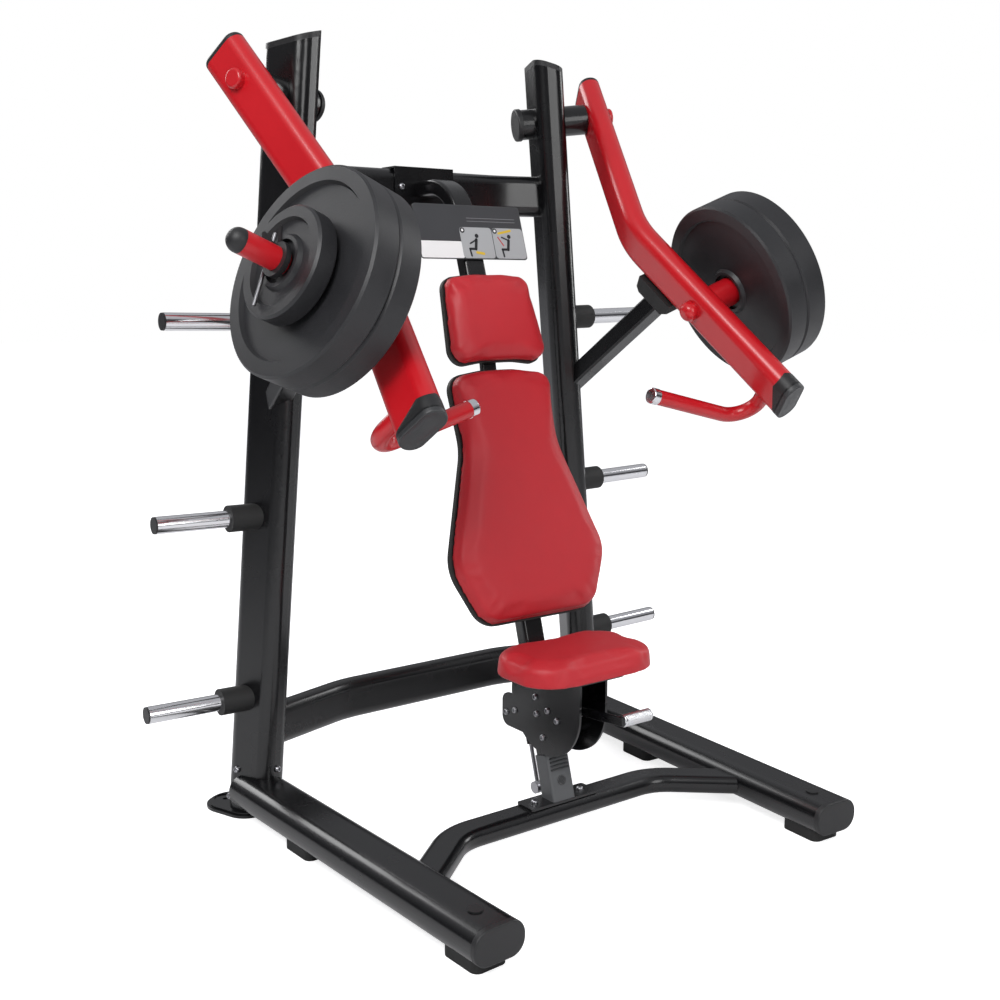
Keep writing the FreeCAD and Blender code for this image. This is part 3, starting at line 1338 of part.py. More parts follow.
def make_lug(frame, up, post):
    """A block between a pad's board and the post behind it."""
    origin = frame.multVec(Vector(0, up, 0))
    back = -frame.Rotation.multVec(UP)
    blank = make_bar("lug_blank", placed(origin, back), 34.0, draw_rounded_rectangle, 50.0, 60.0, 4.0)
    return cut("lug", blank, post)


keep(group("pad_lugs", [make_lug(headrest_frame, 0, upper_post_solid),
                        make_lug(backrest_frame, 180, lower_post_solid),
                        make_lug(backrest_frame, -190, lower_post_solid)]))

# ---------------------------------------------------------------- seat and its carriage

seat_middle = (mm("seat_front") + mm("seat_rear")) / 2
SEAT_DEEP = cell("seat_rear") - cell("seat_front")


def make_seat():
    """The seat's foam as one rounded block."""
    body = new_body("seat_pad", FreeCAD.Placement(Vector(0, seat_middle, mm("seat_bottom")), FreeCAD.Rotation()))
    sketch = sketch_on(body)
    draw_rounded_rectangle(sketch, cell("seat_half_wide") * 2, SEAT_DEEP, cell("seat_round"))
    feature = add_pad(body, sketch, cell("seat_thick"))
    round_edges(body, feature, cell("seat_edge"), lies_at(mm("seat_thick")))
    return body


seat_base_frame = FreeCAD.Placement(Vector(0, seat_middle - 2, mm("seat_bottom") - mm("seat_base_thick")),
                                    FreeCAD.Rotation())
seat_base = make_bar("seat_base", seat_base_frame, cell("seat_base_thick"), draw_rounded_rectangle,
                     cell("seat_base_half") * 2, SEAT_DEEP - 40, 20.0)
keep(make_seat(), seat_base)

side_plate_outside = mm("side_plate_inside") + mm("side_plate_thick")
CARRIAGE_BOLTS = [(-85, 343), (-3, 287), (32, 273), (-90, 302), (-168, 305), (-115, 249)]


def make_carriage_bolt(back, height):
    """A through bolt of the carriage with a head at each end."""
    shank = make_rod("carriage_shank", placed(Vector(-side_plate_outside, back, height), SIDEWAYS),
                     as_size(side_plate_outside * 2), cell("carriage_bolt"))
    heads = [make_bolt(Vector(side * side_plate_outside, back, height), SIDEWAYS * side, 0.5,
                       cell("carriage_head"), cell("carriage_head_tall"), cell("carriage_bolt"))
             for side in (-1, 1)]
    return fuse("carriage_bolt", shank, *heads)


lever_pivot = Vector(0, mm("lever_pivot_ahead"), mm("lever_pivot_height"))
carriage_bolts = [make_carriage_bolt(back, height) for back, height in CARRIAGE_BOLTS]
pivot_bolt = make_carriage_bolt(lever_pivot.y, lever_pivot.z)
keep(group("carriage_bolts", carriage_bolts + [pivot_bolt]))


def make_side_plate():
    """The flat carriage plate: a round front lobe and a small rear lobe."""
    frame = placed(Vector(mm("side_plate_inside"), mm("side_disc_ahead"), mm("side_disc_height")),
                   SIDEWAYS, Vector(0, 1, 0))
    disc = make_rod("side_disc", frame, cell("side_plate_thick"), cell("side_disc_size"))
    low, high, back = cell("side_lobe_low"), cell("side_lobe_high"), cell("side_lobe_back")
    front = cell("side_disc_ahead")
    lobe_middle = Vector(mm("side_plate_inside"), (front.value + back.value) / 2, (low.value + high.value) / 2)
    lobe = make_bar("side_lobe", placed(lobe_middle, SIDEWAYS, Vector(0, 1, 0)), cell("side_plate_thick"),
                    draw_rounded_rectangle, back - front, high - low, cell("side_lobe_round"))
    top = Vector(0, 0, mm("seat_bottom") - mm("seat_base_thick"))
    above_seat_base = make_half_space("above_seat_base", top, UP)
    shoulder_middle = Vector(mm("side_plate_inside"), front.value - 24, top.z - 30)
    shoulder = make_bar("side_shoulder", placed(shoulder_middle, SIDEWAYS, Vector(0, 1, 0)),
                        cell("side_plate_thick"), draw_rounded_rectangle, 214.0, 80.0, 6.0)
    outline = fuse("side_outline", disc, lobe, shoulder)
    return cut("carriage_plate", outline, above_seat_base, *carriage_bolts, pivot_bolt)


keep_group_of_sides("carriage_plates", [make_side_plate()])


def in_post(label, across, behind, up):
    """A box given by its limits in the lower post's own frame, as three (low, high) pairs."""
    box = document.addObject("Part::Box", label)
    box.Length = across[1] - across[0]
    box.Width = behind[1] - behind[0]
    box.Height = up[1] - up[0]
    corner = lower_post_frame.multVec(Vector(across[0], behind[0], up[0]))
    box.Placement = FreeCAD.Placement(corner, lower_post_frame.Rotation)
    return box


inside = mm("side_plate_inside")
post_face = mm("post_deep") / 2
slide_face = post_face + mm("slide_gap")
front_block = in_post("front_block", (-inside, inside), (-50, -slide_face), (190, 284))
rear_block = in_post("rear_block", (-inside, inside), (slide_face, 62), (180, 246))
spring_seat = in_post("spring_seat", (-inside, inside), (62, 86), (250, 258))
keep(group("slide_blocks", [cut("front_slide_block", front_block, *carriage_bolts),
                            cut("rear_slide_block", rear_block, *carriage_bolts), spring_seat]))

spring_axis = lower_post_frame.multVec(Vector(0, mm("spring_behind"), 0))
spring_frame = placed(spring_axis, lower_post_direction)
spring_bore = cell("spring_rod_size") + cell("running_clearance") * 2
cylinder_blank = make_rod("cylinder_blank", spring_frame, 122.0, cell("spring_size"), start=128.0)
cylinder_bore = make_rod("cylinder_bore", spring_frame, 124.0, spring_bore, start=120.0)
keep(cut("gas_spring_cylinder", cylinder_blank, cylinder_bore))
spring_rod = make_rod("spring_rod", spring_frame, 150.0, cell("spring_rod_size"), start=20.0)
knob_spot = lower_post_frame.multVec(Vector(-12, mm("spring_behind"), 20))
spring_knob = make_rod("spring_knob", placed(knob_spot, SIDEWAYS), 24.0, cell("spring_knob_size"))
spring_lug = in_post("spring_lug", (-6, 6), (post_face, mm("spring_behind")), (12, 28))
keep(fuse("gas_spring_rod", spring_rod, spring_knob, spring_lug))


def make_lever():
    """The seat lever: a flat bar with a hub that turns on its bolt."""
    start = Vector(mm("lever_inside") + mm("lever_thick") / 2, lever_pivot.y, lever_pivot.z)
    end = Vector(start.x, mm("lever_front"), mm("lever_front_height"))
    bar = make_bar("lever_bar", placed(start, end - start), as_size((end - start).Length + 8),
                   draw_rounded_rectangle, cell("lever_thick"), cell("lever_tall"), 2.0)
    hub = make_rod("lever_hub", placed(Vector(-20, lever_pivot.y, lever_pivot.z), SIDEWAYS), 44.0,
                   cell("lever_hub_size"))
    hole = make_rod("lever_hole", placed(Vector(-30, lever_pivot.y, lever_pivot.z), SIDEWAYS), 80.0,
                    cell("carriage_bolt") + cell("running_clearance") * 2)
    return cut("seat_lever", fuse("lever_blank", bar, hub), hole)


def make_lever_grip():
    """The knurled round grip on the lever's free end."""
    inner = mm("lever_inside") + mm("lever_thick")
    frame = placed(Vector(inner, mm("lever_front"), mm("lever_front_height")), SIDEWAYS)
    body = new_body("lever_grip", frame)
    sketch = sketch_on(body)
    draw_circle(sketch, cell("grip_size"))
    feature = add_pad(body, sketch, cell("grip_long"))
    round_edges(body, feature, 2.5, lies_at(mm("grip_long")))
    return body


keep(make_lever(), make_lever_grip())

# ---------------------------------------------------------------- placard

placard_frame = placed(Vector(0, mm("placard_back"), mm("placard_height")),
                       SIDEWAYS.cross(leaning(mm("placard_lean"))), SIDEWAYS)
keep(make_bar("placard", placard_frame, cell("placard_thick"), draw_rounded_rectangle,
              cell("placard_wide"), cell("placard_tall"), cell("placard_round")))
clamp_blank = make_bar("clamp_blank", placed(placard_frame.Base, -placard_frame.Rotation.multVec(UP)), 20.0,
                       draw_rounded_rectangle, 54.0, 96.0, 5.0)
keep(cut("placard_clamp", clamp_blank, upper_post_solid))

# ---------------------------------------------------------------- frame fasteners

keep(group("frame_bolts", saddle_bolts + foot_bolts + base_bolts
           + [mirror("left_base_bolt", bolt) for bolt in base_bolts]))

# ---------------------------------------------------------------- checks and export

document.recompute()
failed = [item.Label for item in document.Objects if "Invalid" in item.State or "Error" in item.State]
broken = [piece.Label for piece in nodes if piece.Shape.isNull() or not piece.Shape.isValid()]
if failed or broken:
    raise SystemExit(f"failed objects: {failed}; broken shapes: {broken}")
os.makedirs("parts", exist_ok=True)
for piece in nodes:
    piece.Shape.exportStep(f"parts/{piece.Label}.step")
print(f"{len(nodes)} nodes written")
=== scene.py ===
"""Looks of a plate-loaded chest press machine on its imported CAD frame. Metres, +Z up, -Y front."""
import json
import math

import bmesh
import bpy
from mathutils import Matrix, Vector


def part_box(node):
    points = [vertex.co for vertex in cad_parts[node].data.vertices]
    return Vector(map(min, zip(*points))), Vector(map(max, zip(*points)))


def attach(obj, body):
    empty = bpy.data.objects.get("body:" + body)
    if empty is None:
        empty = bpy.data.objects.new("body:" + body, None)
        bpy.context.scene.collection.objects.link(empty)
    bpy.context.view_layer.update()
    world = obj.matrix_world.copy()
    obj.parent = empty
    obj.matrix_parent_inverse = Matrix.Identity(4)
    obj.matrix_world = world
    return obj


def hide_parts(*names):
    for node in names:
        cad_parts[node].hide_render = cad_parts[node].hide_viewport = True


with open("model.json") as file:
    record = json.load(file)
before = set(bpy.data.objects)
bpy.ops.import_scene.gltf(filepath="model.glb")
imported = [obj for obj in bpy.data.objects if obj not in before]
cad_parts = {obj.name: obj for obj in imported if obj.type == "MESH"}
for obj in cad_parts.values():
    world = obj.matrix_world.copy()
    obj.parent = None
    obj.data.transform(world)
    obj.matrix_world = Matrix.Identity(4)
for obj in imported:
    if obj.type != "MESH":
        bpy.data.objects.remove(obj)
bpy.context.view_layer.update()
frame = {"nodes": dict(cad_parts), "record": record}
nodes = frame["nodes"]
SIDES = (("right", 1), ("left", -1))
END_REACH = Vector((0.525, -0.341, 1.054))  # the press arm's lower end, on the right side
SLEEVE = Vector((0.919512, -0.128859, 0.371339))  # the load sleeve's direction, on the right side
BACKREST_LEAN = 16.7
HEADREST_LEAN = 18.5
PLACARD_LEAN = 18.0
POST_LEAN = 16.17


# ------------------------------------------------------------------ camera

def make_camera():
    data = bpy.data.cameras.new("camera")
    data.sensor_width = 36.0
    data.lens = 45.30
    data.clip_end = 200.0
    camera = bpy.data.objects.new("camera", data)
    camera.location = (-1.8354, -2.3874, 1.3140)
    camera.rotation_euler = (math.radians(90 - 9.520), 0.0, math.radians(-36.232))
    bpy.context.collection.objects.link(camera)
    bpy.context.scene.camera = camera


make_camera()


# ------------------------------------------------------------------ materials

def shaded(color, factor):
    return tuple(min(1.0, c * factor) for c in color[:3]) + (1.0,)


def make_material(name, color, roughness, metallic=0.0, coat=0.0, grain=600.0, bump=0.05, mottle=0.08,
                  mottle_scale=9.0, cells=False, rough_spread=0.06, stretch=(1, 1, 1), sheen=0.0):
    """A finish with colour mottling, uneven gloss and a fine surface grain, all in object space."""
    material = bpy.data.materials.new(name)
    material.use_nodes = True
    tree = material.node_tree
    shader = tree.nodes["Principled BSDF"]
    shader.inputs["Metallic"].default_value = metallic
    shader.inputs["Coat Weight"].default_value = coat
    shader.inputs["Coat Roughness"].default_value = 0.12
    shader.inputs["Sheen Weight"].default_value = sheen
    place = tree.nodes.new("ShaderNodeTexCoord")
    scale = tree.nodes.new("ShaderNodeMapping")
    scale.inputs["Scale"].default_value = stretch
    tree.links.new(place.outputs["Object"], scale.inputs["Vector"])

    broad = tree.nodes.new("ShaderNodeTexNoise")
    broad.inputs["Scale"].default_value = mottle_scale
    broad.inputs["Detail"].default_value = 4.0
    tree.links.new(scale.outputs["Vector"], broad.inputs["Vector"])
    tint = tree.nodes.new("ShaderNodeMix")
    tint.data_type = "RGBA"
    tint.inputs["A"].default_value = shaded(color, 1.0 - mottle)
    tint.inputs["B"].default_value = shaded(color, 1.0 + mottle)
    tree.links.new(broad.outputs["Fac"], tint.inputs["Factor"])
    tree.links.new(tint.outputs["Result"], shader.inputs["Base Color"])

    uneven = tree.nodes.new("ShaderNodeMapRange")
    uneven.inputs["To Min"].default_value = max(0.02, roughness - rough_spread)
    uneven.inputs["To Max"].default_value = roughness + rough_spread
    tree.links.new(broad.outputs["Fac"], uneven.inputs["Value"])
    tree.links.new(uneven.outputs["Result"], shader.inputs["Roughness"])

    if cells:
        fine = tree.nodes.new("ShaderNodeTexVoronoi")
        height = fine.outputs["Distance"]
    else:
        fine = tree.nodes.new("ShaderNodeTexNoise")
        fine.inputs["Detail"].default_value = 3.0
        height = fine.outputs["Fac"]
    fine.inputs["Scale"].default_value = grain
    tree.links.new(scale.outputs["Vector"], fine.inputs["Vector"])
    relief = tree.nodes.new("ShaderNodeBump")
    relief.inputs["Strength"].default_value = bump
    relief.inputs["Distance"].default_value = 0.001
    tree.links.new(height, relief.inputs["Height"])
    tree.links.new(relief.outputs["Normal"], shader.inputs["Normal"])
    return material


FINISHES = {
    "black_frame": make_material("black_powder_coat", (0.0030, 0.0030, 0.0036), 0.26, coat=0.22,
                                 grain=420, bump=0.06),
    "red_arm": make_material("red_powder_coat", (0.50, 0.005, 0.011), 0.33, coat=0.25, grain=420,
                             bump=0.07),
    "bright_steel": make_material("polished_chrome", (0.78, 0.78, 0.80), 0.13, metallic=1.0, grain=700,
                                  bump=0.02, stretch=(0.2, 1, 1), mottle=0.03),
    "zinc": make_material("zinc_plate", (0.40, 0.40, 0.42), 0.32, metallic=1.0, grain=900, bump=0.08,
                          mottle=0.1, mottle_scale=60),
    "wire": make_material("spring_wire", (0.20, 0.20, 0.21), 0.36, metallic=1.0, grain=900, bump=0.06,
                          mottle=0.1, mottle_scale=60),
    "plate_iron": make_material("enamelled_iron", (0.016, 0.016, 0.018), 0.44, grain=260, bump=0.22,
                                mottle=0.18, mottle_scale=14, rough_spread=0.1),
    "black_plastic": make_material("moulded_black", (0.012, 0.012, 0.013), 0.48, grain=1500, bump=0.12,
                                   cells=True),
    "grey_plastic": make_material("moulded_grey", (0.085, 0.088, 0.092), 0.46, grain=1400, bump=0.12,
                                  cells=True),
    "rubber": make_material("matt_rubber", (0.010, 0.010, 0.010), 0.62, grain=1100, bump=0.18, mottle=0.2),
    "red_vinyl": make_material("red_vinyl", (0.46, 0.010, 0.018), 0.46, grain=1500, bump=0.16, cells=True,
                               mottle=0.06, mottle_scale=24, rough_spread=0.05, sheen=0.02),
    "board": make_material("stained_board", (0.012, 0.011, 0.010), 0.6, grain=160, bump=0.2,
                           stretch=(1, 1, 8), mottle=0.3),
    "bronze": make_material("sintered_bronze", (0.42, 0.26, 0.11), 0.4, metallic=1.0, grain=1200, bump=0.2),
    "steel": make_material("ground_steel", (0.42, 0.42, 0.44), 0.28, metallic=1.0, grain=500, bump=0.08,
                           stretch=(1, 1, 0.1)),
    "sign": make_material("placard_face", (0.045, 0.047, 0.05), 0.36, grain=900, bump=0.03, mottle=0.05),
}


def dress_nodes():
    """Every CAD node takes the finish of its material slot."""
    for entry in frame["record"]["subparts"]:
        node = nodes[entry["node"]]
        finish = FINISHES[entry["material_slot"]]
        if not node.material_slots:
            node.data.materials.append(finish)
        for slot in node.material_slots:
            slot.material = finish


dress_nodes()


# ------------------------------------------------------------------ helpers

def link(name, mesh, finish, body="frame"):
    """A new piece of the object that rides on a body."""
    piece = bpy.data.objects.new(name, mesh)
    bpy.context.collection.objects.link(piece)
    mesh.materials.clear()
    mesh.materials.append(FINISHES[finish] if isinstance(finish, str) else finish)
    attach(piece, body)
    return piece


def baked(piece):
    """The piece's mesh with its modifiers applied."""
    depsgraph = bpy.context.evaluated_depsgraph_get()
    mesh = bpy.data.meshes.new_from_object(piece.evaluated_get(depsgraph))
    piece.modifiers.clear()
    piece.data = mesh
    return mesh


def smooth(mesh):
    for polygon in mesh.polygons:
        polygon.use_smooth = True


def bridge(shape, *rings):
    """Faces between each closed ring of points and the next."""
    for lower, upper in zip(rings, rings[1:]):
        count = len(lower)
        for i in range(count):
            shape.faces.new((lower[i], lower[(i + 1) % count], upper[(i + 1) % count], upper[i]))


# ------------------------------------------------------------------ cushions

def make_cushion(node_name, body, held, shrink, cap, pressure, voxel=0.006):
    """A crowned, stuffed pad in the place of a plain CAD pad.

    held(point) is true where the pad's board grips it."""
    source = nodes[node_name]
    mesh = source.data.copy()
    mesh.transform(source.matrix_world)
    piece = bpy.data.objects.new(f"{node_name}_cushion", mesh)
    bpy.context.collection.objects.link(piece)
    remesh = piece.modifiers.new("remesh", "REMESH")
    remesh.mode = "VOXEL"
    remesh.voxel_size = voxel
    mesh = baked(piece)
    mesh.update()
    normals = [vertex.normal.copy() for vertex in mesh.vertices]
    for vertex, normal in zip(mesh.vertices, normals):
        if not held(vertex.co):
            vertex.co -= normal * shrink
    grip = piece.vertex_groups.new(name="grip")
    grip.add([v.index for v in mesh.vertices if held(v.co)], 1.0, "REPLACE")
    start = [vertex.co.copy() for vertex in mesh.vertices]
    cloth = piece.modifiers.new("cloth", "CLOTH")
    cloth.settings.use_pressure = True
    cloth.settings.uniform_pressure_force = pressure
    cloth.settings.effector_weights.gravity = 0.0
    cloth.settings.vertex_group_mass = "grip"
    cloth.settings.quality = 5
    cloth.settings.tension_stiffness = 40
    cloth.settings.compression_stiffness = 40
    cloth.settings.bending_stiffness = 2.0
    cloth.collision_settings.use_collision = False
    for step in range(1, 21):
        bpy.context.scene.frame_set(step)
    mesh = baked(piece)
    bpy.context.scene.frame_set(1)
    for vertex, origin in zip(mesh.vertices, start):
        move = vertex.co - origin
        if move.length > cap:
            vertex.co = origin + move * (cap / move.length)
    relax = piece.modifiers.new("relax", "SMOOTH")
    relax.factor = 0.5
    relax.iterations = 12
    finer = piece.modifiers.new("finer", "SUBSURF")
    finer.levels = 1
    finer.render_levels = 1
    mesh = baked(piece)
    smooth(mesh)
    mesh.materials.clear()
    mesh.materials.append(FINISHES["red_vinyl"])
    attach(piece, body)
    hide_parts(node_name)


def behind_board(node_name, lean_degrees, depth):
    """A test for points within this depth of the pad's rear plane."""
    lean = math.radians(lean_degrees)
    back = Vector((0.0, math.cos(lean), -math.sin(lean)))
    furthest = max(back.dot(nodes[node_name].matrix_world @ v.co) for v in nodes[node_name].data.vertices)
    return lambda point: back.dot(point) > furthest - depth


make_cushion("backrest", "frame", behind_board("backrest", BACKREST_LEAN, 0.004), 0.004, 0.008, 4.0)
make_cushion("headrest", "frame", behind_board("headrest", HEADREST_LEAN, 0.004), 0.004, 0.008, 4.0)
seat_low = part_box("seat_pad")[0][2]
make_cushion("seat_pad", "seat_carriage", lambda p: p.z < seat_low + 0.004, 0.005, 0.007, 4.0)


# ------------------------------------------------------------------ placard

LEAN = math.radians(PLACARD_LEAN)
placard_low, placard_high = (Vector(corner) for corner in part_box("placard"))
placard_middle = (placard_low + placard_high) / 2
FACE_OUT = Vector((0.0, -math.cos(LEAN), math.sin(LEAN)))
FACE_UP = Vector((0.0, math.sin(LEAN), math.cos(LEAN)))

PRINTS = {
    "print_dark": make_material("print_dark", (0.035, 0.036, 0.04), 0.4, grain=900, bump=0.02),
    "print_black": make_material("print_black", (0.008, 0.008, 0.01), 0.4, grain=900, bump=0.02),
    "print_white": make_material("print_white", (0.78, 0.78, 0.78), 0.4, grain=900, bump=0.02, mottle=0.02),
    "print_grey": make_material("print_grey", (0.36, 0.37, 0.38), 0.4, grain=900, bump=0.02, mottle=0.02),
    "print_rule": make_material("print_rule", (0.16, 0.16, 0.17), 0.4, grain=900, bump=0.02),
    "print_yellow": make_material("print_yellow", (0.62, 0.42, 0.03), 0.4, grain=900, bump=0.02),
    "print_red": make_material("print_red", (0.5, 0.02, 0.02), 0.4, grain=900, bump=0.02),
}


def rounded(left, right, bottom, top, radius, steps=6):
    """The outline of a rounded rectangle."""
    corners = ((right - radius, bottom + radius, -90), (right - radius, top - radius, 0),
               (left + radius, top - radius, 90), (left + radius, bottom + radius, 180))
    outline = []
    for across, up, start in corners:
        for step in range(steps + 1):
            angle = math.radians(start + 90 * step / steps)
            outline.append((across + radius * math.cos(angle), up + radius * math.sin(angle)))
    return outline


def disc(across, up, radius, count=28):
    return [(across + radius * math.cos(2 * math.pi * i / count),
             up + radius * math.sin(2 * math.pi * i / count))
            for i in range(count)]


def bar(start, end, width):
    """The outline of a round-ended stroke."""
    angle = math.atan2(end[1] - start[1], end[0] - start[0])
    outline = []
    for centre, first in ((end, -90), (start, 90)):
        for step in range(9):
            turn = angle + math.radians(first + 180 * step / 8)
            outline.append((centre[0] + width / 2 * math.cos(turn), centre[1] + width / 2 * math.sin(turn)))
    return outline


def printed(name, outlines, lift, finish):
    """Flat printed shapes on the placard's face, in millimetres from its middle."""
    mesh = bpy.data.meshes.new(name)
    shape = bmesh.new()
    base = placard_middle + FACE_OUT * (0.0015 + lift / 1000 - 0.0004)
    for outline in outlines:
        ring = [shape.verts.new(base + Vector((x / 1000, 0, 0)) + FACE_UP * (y / 1000)) for x, y in outline]
        face = shape.faces.new(ring)
        raised = bmesh.ops.extrude_face_region(shape, geom=[face])
        moved = [item for item in raised["geom"] if isinstance(item, bmesh.types.BMVert)]
        bmesh.ops.translate(shape, verts=moved, vec=FACE_OUT * 0.0004)
    bmesh.ops.recalc_face_normals(shape, faces=shape.faces)
    shape.to_mesh(mesh)
    piece = link(name, mesh, PRINTS[finish])


def seated_figure(across, up, reach):
    """A plain seated pictogram: head, back, thigh, shin and arms held forwards."""
    hip, shoulder, knee = (across - 8, up - 20), (across - 2, up + 4), (across - 26, up - 20)
    limbs = [bar(hip, shoulder, 8), bar(hip, knee, 6), bar(knee, (knee[0] + 2, up - 38), 5),
             bar(shoulder, (across - 22, up + reach), 4)]
    return [disc(across + 1, up + 14, 5.5)] + limbs


def make_placard_print():
    printed("placard_upper_panel", [rounded(-159, 159, -24, 68, 7)], 0.4, "print_dark")
    printed("placard_lower_band", [rounded(-159, -34, -68, -25, 5)], 0.4, "print_white")
    printed("placard_rules", [bar((-8, 36), (140, 36), 1.6), bar((-8, 28), (140, 28), 1.6)], 0.7,
            "print_rule")
    printed("placard_cards", [rounded(-36, 61, -68, 12, 9), rounded(63, 159, -68, 12, 9)], 0.8,
            "print_grey")
    printed("placard_marks", [disc(-28, 4, 7), disc(71, 4, 7)], 1.2, "print_black")
    printed("placard_mark_dots", [disc(-28, 4, 3.4), disc(71, 4, 3.4)], 1.5, "print_white")
    printed("placard_figures", seated_figure(12, -24, -6) + seated_figure(112, -24, 12), 1.2, "print_black")
    printed("placard_seat_marks", [bar((6, -53), (26, -56), 7), bar((82, -2), (120, 6), 6)], 1.1,
            "print_yellow")
    printed("placard_arrow", [bar((78, -12), (92, -34), 3)], 1.1, "print_red")


make_placard_print()


# ------------------------------------------------------------------ arm ends

def arm_axes(side):
    """Along the lower arm towards its end, across its flats outwards, and along its flats upwards."""
    down = Vector((0.1599 * side, -0.7403, -0.6529)).normalized()
    out = Vector((0.9195 * side, -0.1289, 0.3713)).normalized()
    up = Vector((-0.3591 * side, -0.6598, 0.6601)).normalized()
    return down, out, up


def stadium(half_thick, half_wide, count=72):
    """The outline of the arm's section: straight flats with round ends."""
    radius = half_thick
    straight = half_wide - radius
    points = []
    for i in range(count // 2):
        turn = math.pi * i / (count // 2 - 1)
        points.append((radius * math.cos(turn), straight + radius * math.sin(turn)))
    for i in range(count // 2):
        turn = math.pi + math.pi * i / (count // 2 - 1)
        points.append((radius * math.cos(turn), -straight + radius * math.sin(turn)))
    return points


def make_arm_end(side_name, side):
    """The black band of the lower cap, with its wavy edge on the tube, and the cap's grey face."""
    down, out, up = arm_axes(side)
    end = Vector((END_REACH.x * side, END_REACH.y, END_REACH.z))
    section = stadium(0.0302, 0.0592)
    mesh = bpy.data.meshes.new("band")
    shape = bmesh.new()
    rings = []
    for part in range(5):
        ring = []
        for x, y in section:
            rise = 0.5 + 0.5 * math.tanh(y / 0.030)
            length = 0.006 + 0.030 * rise
            along = -length + (length + 0.004) * part / 4
            thin, low = (0.96, 0.98) if part == 0 else (1.0, 1.0)
            ring.append(shape.verts.new(end + down * along + out * x * thin + up * y * low))
        rings.append(ring)
    bridge(shape, *rings)
    bmesh.ops.recalc_face_normals(shape, faces=shape.faces)
    shape.to_mesh(mesh)
    smooth(mesh)
    band = link(f"{side_name}_arm_end_band", mesh, "black_plastic", f"{side_name}_arm")

    mesh = bpy.data.meshes.new("face")
    shape = bmesh.new()
    rings = []
    for reach, height in ((1.0, 0.0), (1.0, 0.0125), (0.985, 0.0150), (0.93, 0.0160), (0.90, 0.0152),
                          (0.5, 0.0175)):
        rings.append([shape.verts.new(end + down * height + out * x * reach + up * y * reach)
                      for x, y in section])
    bridge(shape, *rings)
    middle = shape.verts.new(end + down * 0.0185)
    count = len(section)
    for i in range(count):
        shape.faces.new((rings[-1][i], rings[-1][(i + 1) % count], middle))
    bmesh.ops.recalc_face_normals(shape, faces=shape.faces)
    shape.to_mesh(mesh)
    smooth(mesh)
    face = link(f"{side_name}_arm_end_face", mesh, END_GREY, f"{side_name}_arm")


END_GREY = make_material("cap_face_grey", (0.030, 0.031, 0.033), 0.42, grain=1500, bump=0.12, cells=True)
for side_name, side in SIDES:
    make_arm_end(side_name, side)


# ------------------------------------------------------------------ lever grip

def make_knurled_grip():
    """The lever's grip with real diamond knurling and a plain collar at each end."""
    low, high = (Vector(corner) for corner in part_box("lever_grip"))
    axis_y, axis_z = (low.y + high.y) / 2, (low.z + high.z) / 2
    radius = (high.z - low.z) / 2
    around, along = 120, 110
    mesh = bpy.data.meshes.new("grip")
    shape = bmesh.new()
    rings = []
    for j in range(along + 1):
        share = j / along
        across = low.x + (high.x - low.x) * share
        edge = min(share, 1 - share) * (high.x - low.x)
        trim = 0.0022 * max(0.0, 1 - edge / 0.0022) ** 2
        ring = []
        for i in range(around):
            turn = 2 * math.pi * i / around
            weave = math.sin(turn * 20 + share * 84) * math.sin(turn * 20 - share * 84)
            knurl = 0.00055 * weave if edge > 0.006 else 0.0004
            size = radius - 0.0008 - trim + knurl
            ring.append(shape.verts.new((across, axis_y + size * math.cos(turn),
                                         axis_z + size * math.sin(turn))))
        rings.append(ring)
    bridge(shape, *rings)
    shape.faces.new(rings[0])
    shape.faces.new(rings[-1])
    bmesh.ops.recalc_face_normals(shape, faces=shape.faces)
    shape.to_mesh(mesh)
    smooth(mesh)
    grip = link("knurled_grip", mesh, "bright_steel", "seat_lever_body")
    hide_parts("lever_grip")


make_knurled_grip()


# ------------------------------------------------------------------ clips

CLIP_RING = 0.0385  # everything of the clip within this radius is its ring
EAR_TURNS = ((-0.10, -0.26), (0.34, 0.62))  # where each ear starts and where its tip leans, in radians
EAR_THICK = 0.0035
EAR_OVERLAP = 0.008  # how far the ears' roots reach back into the ring


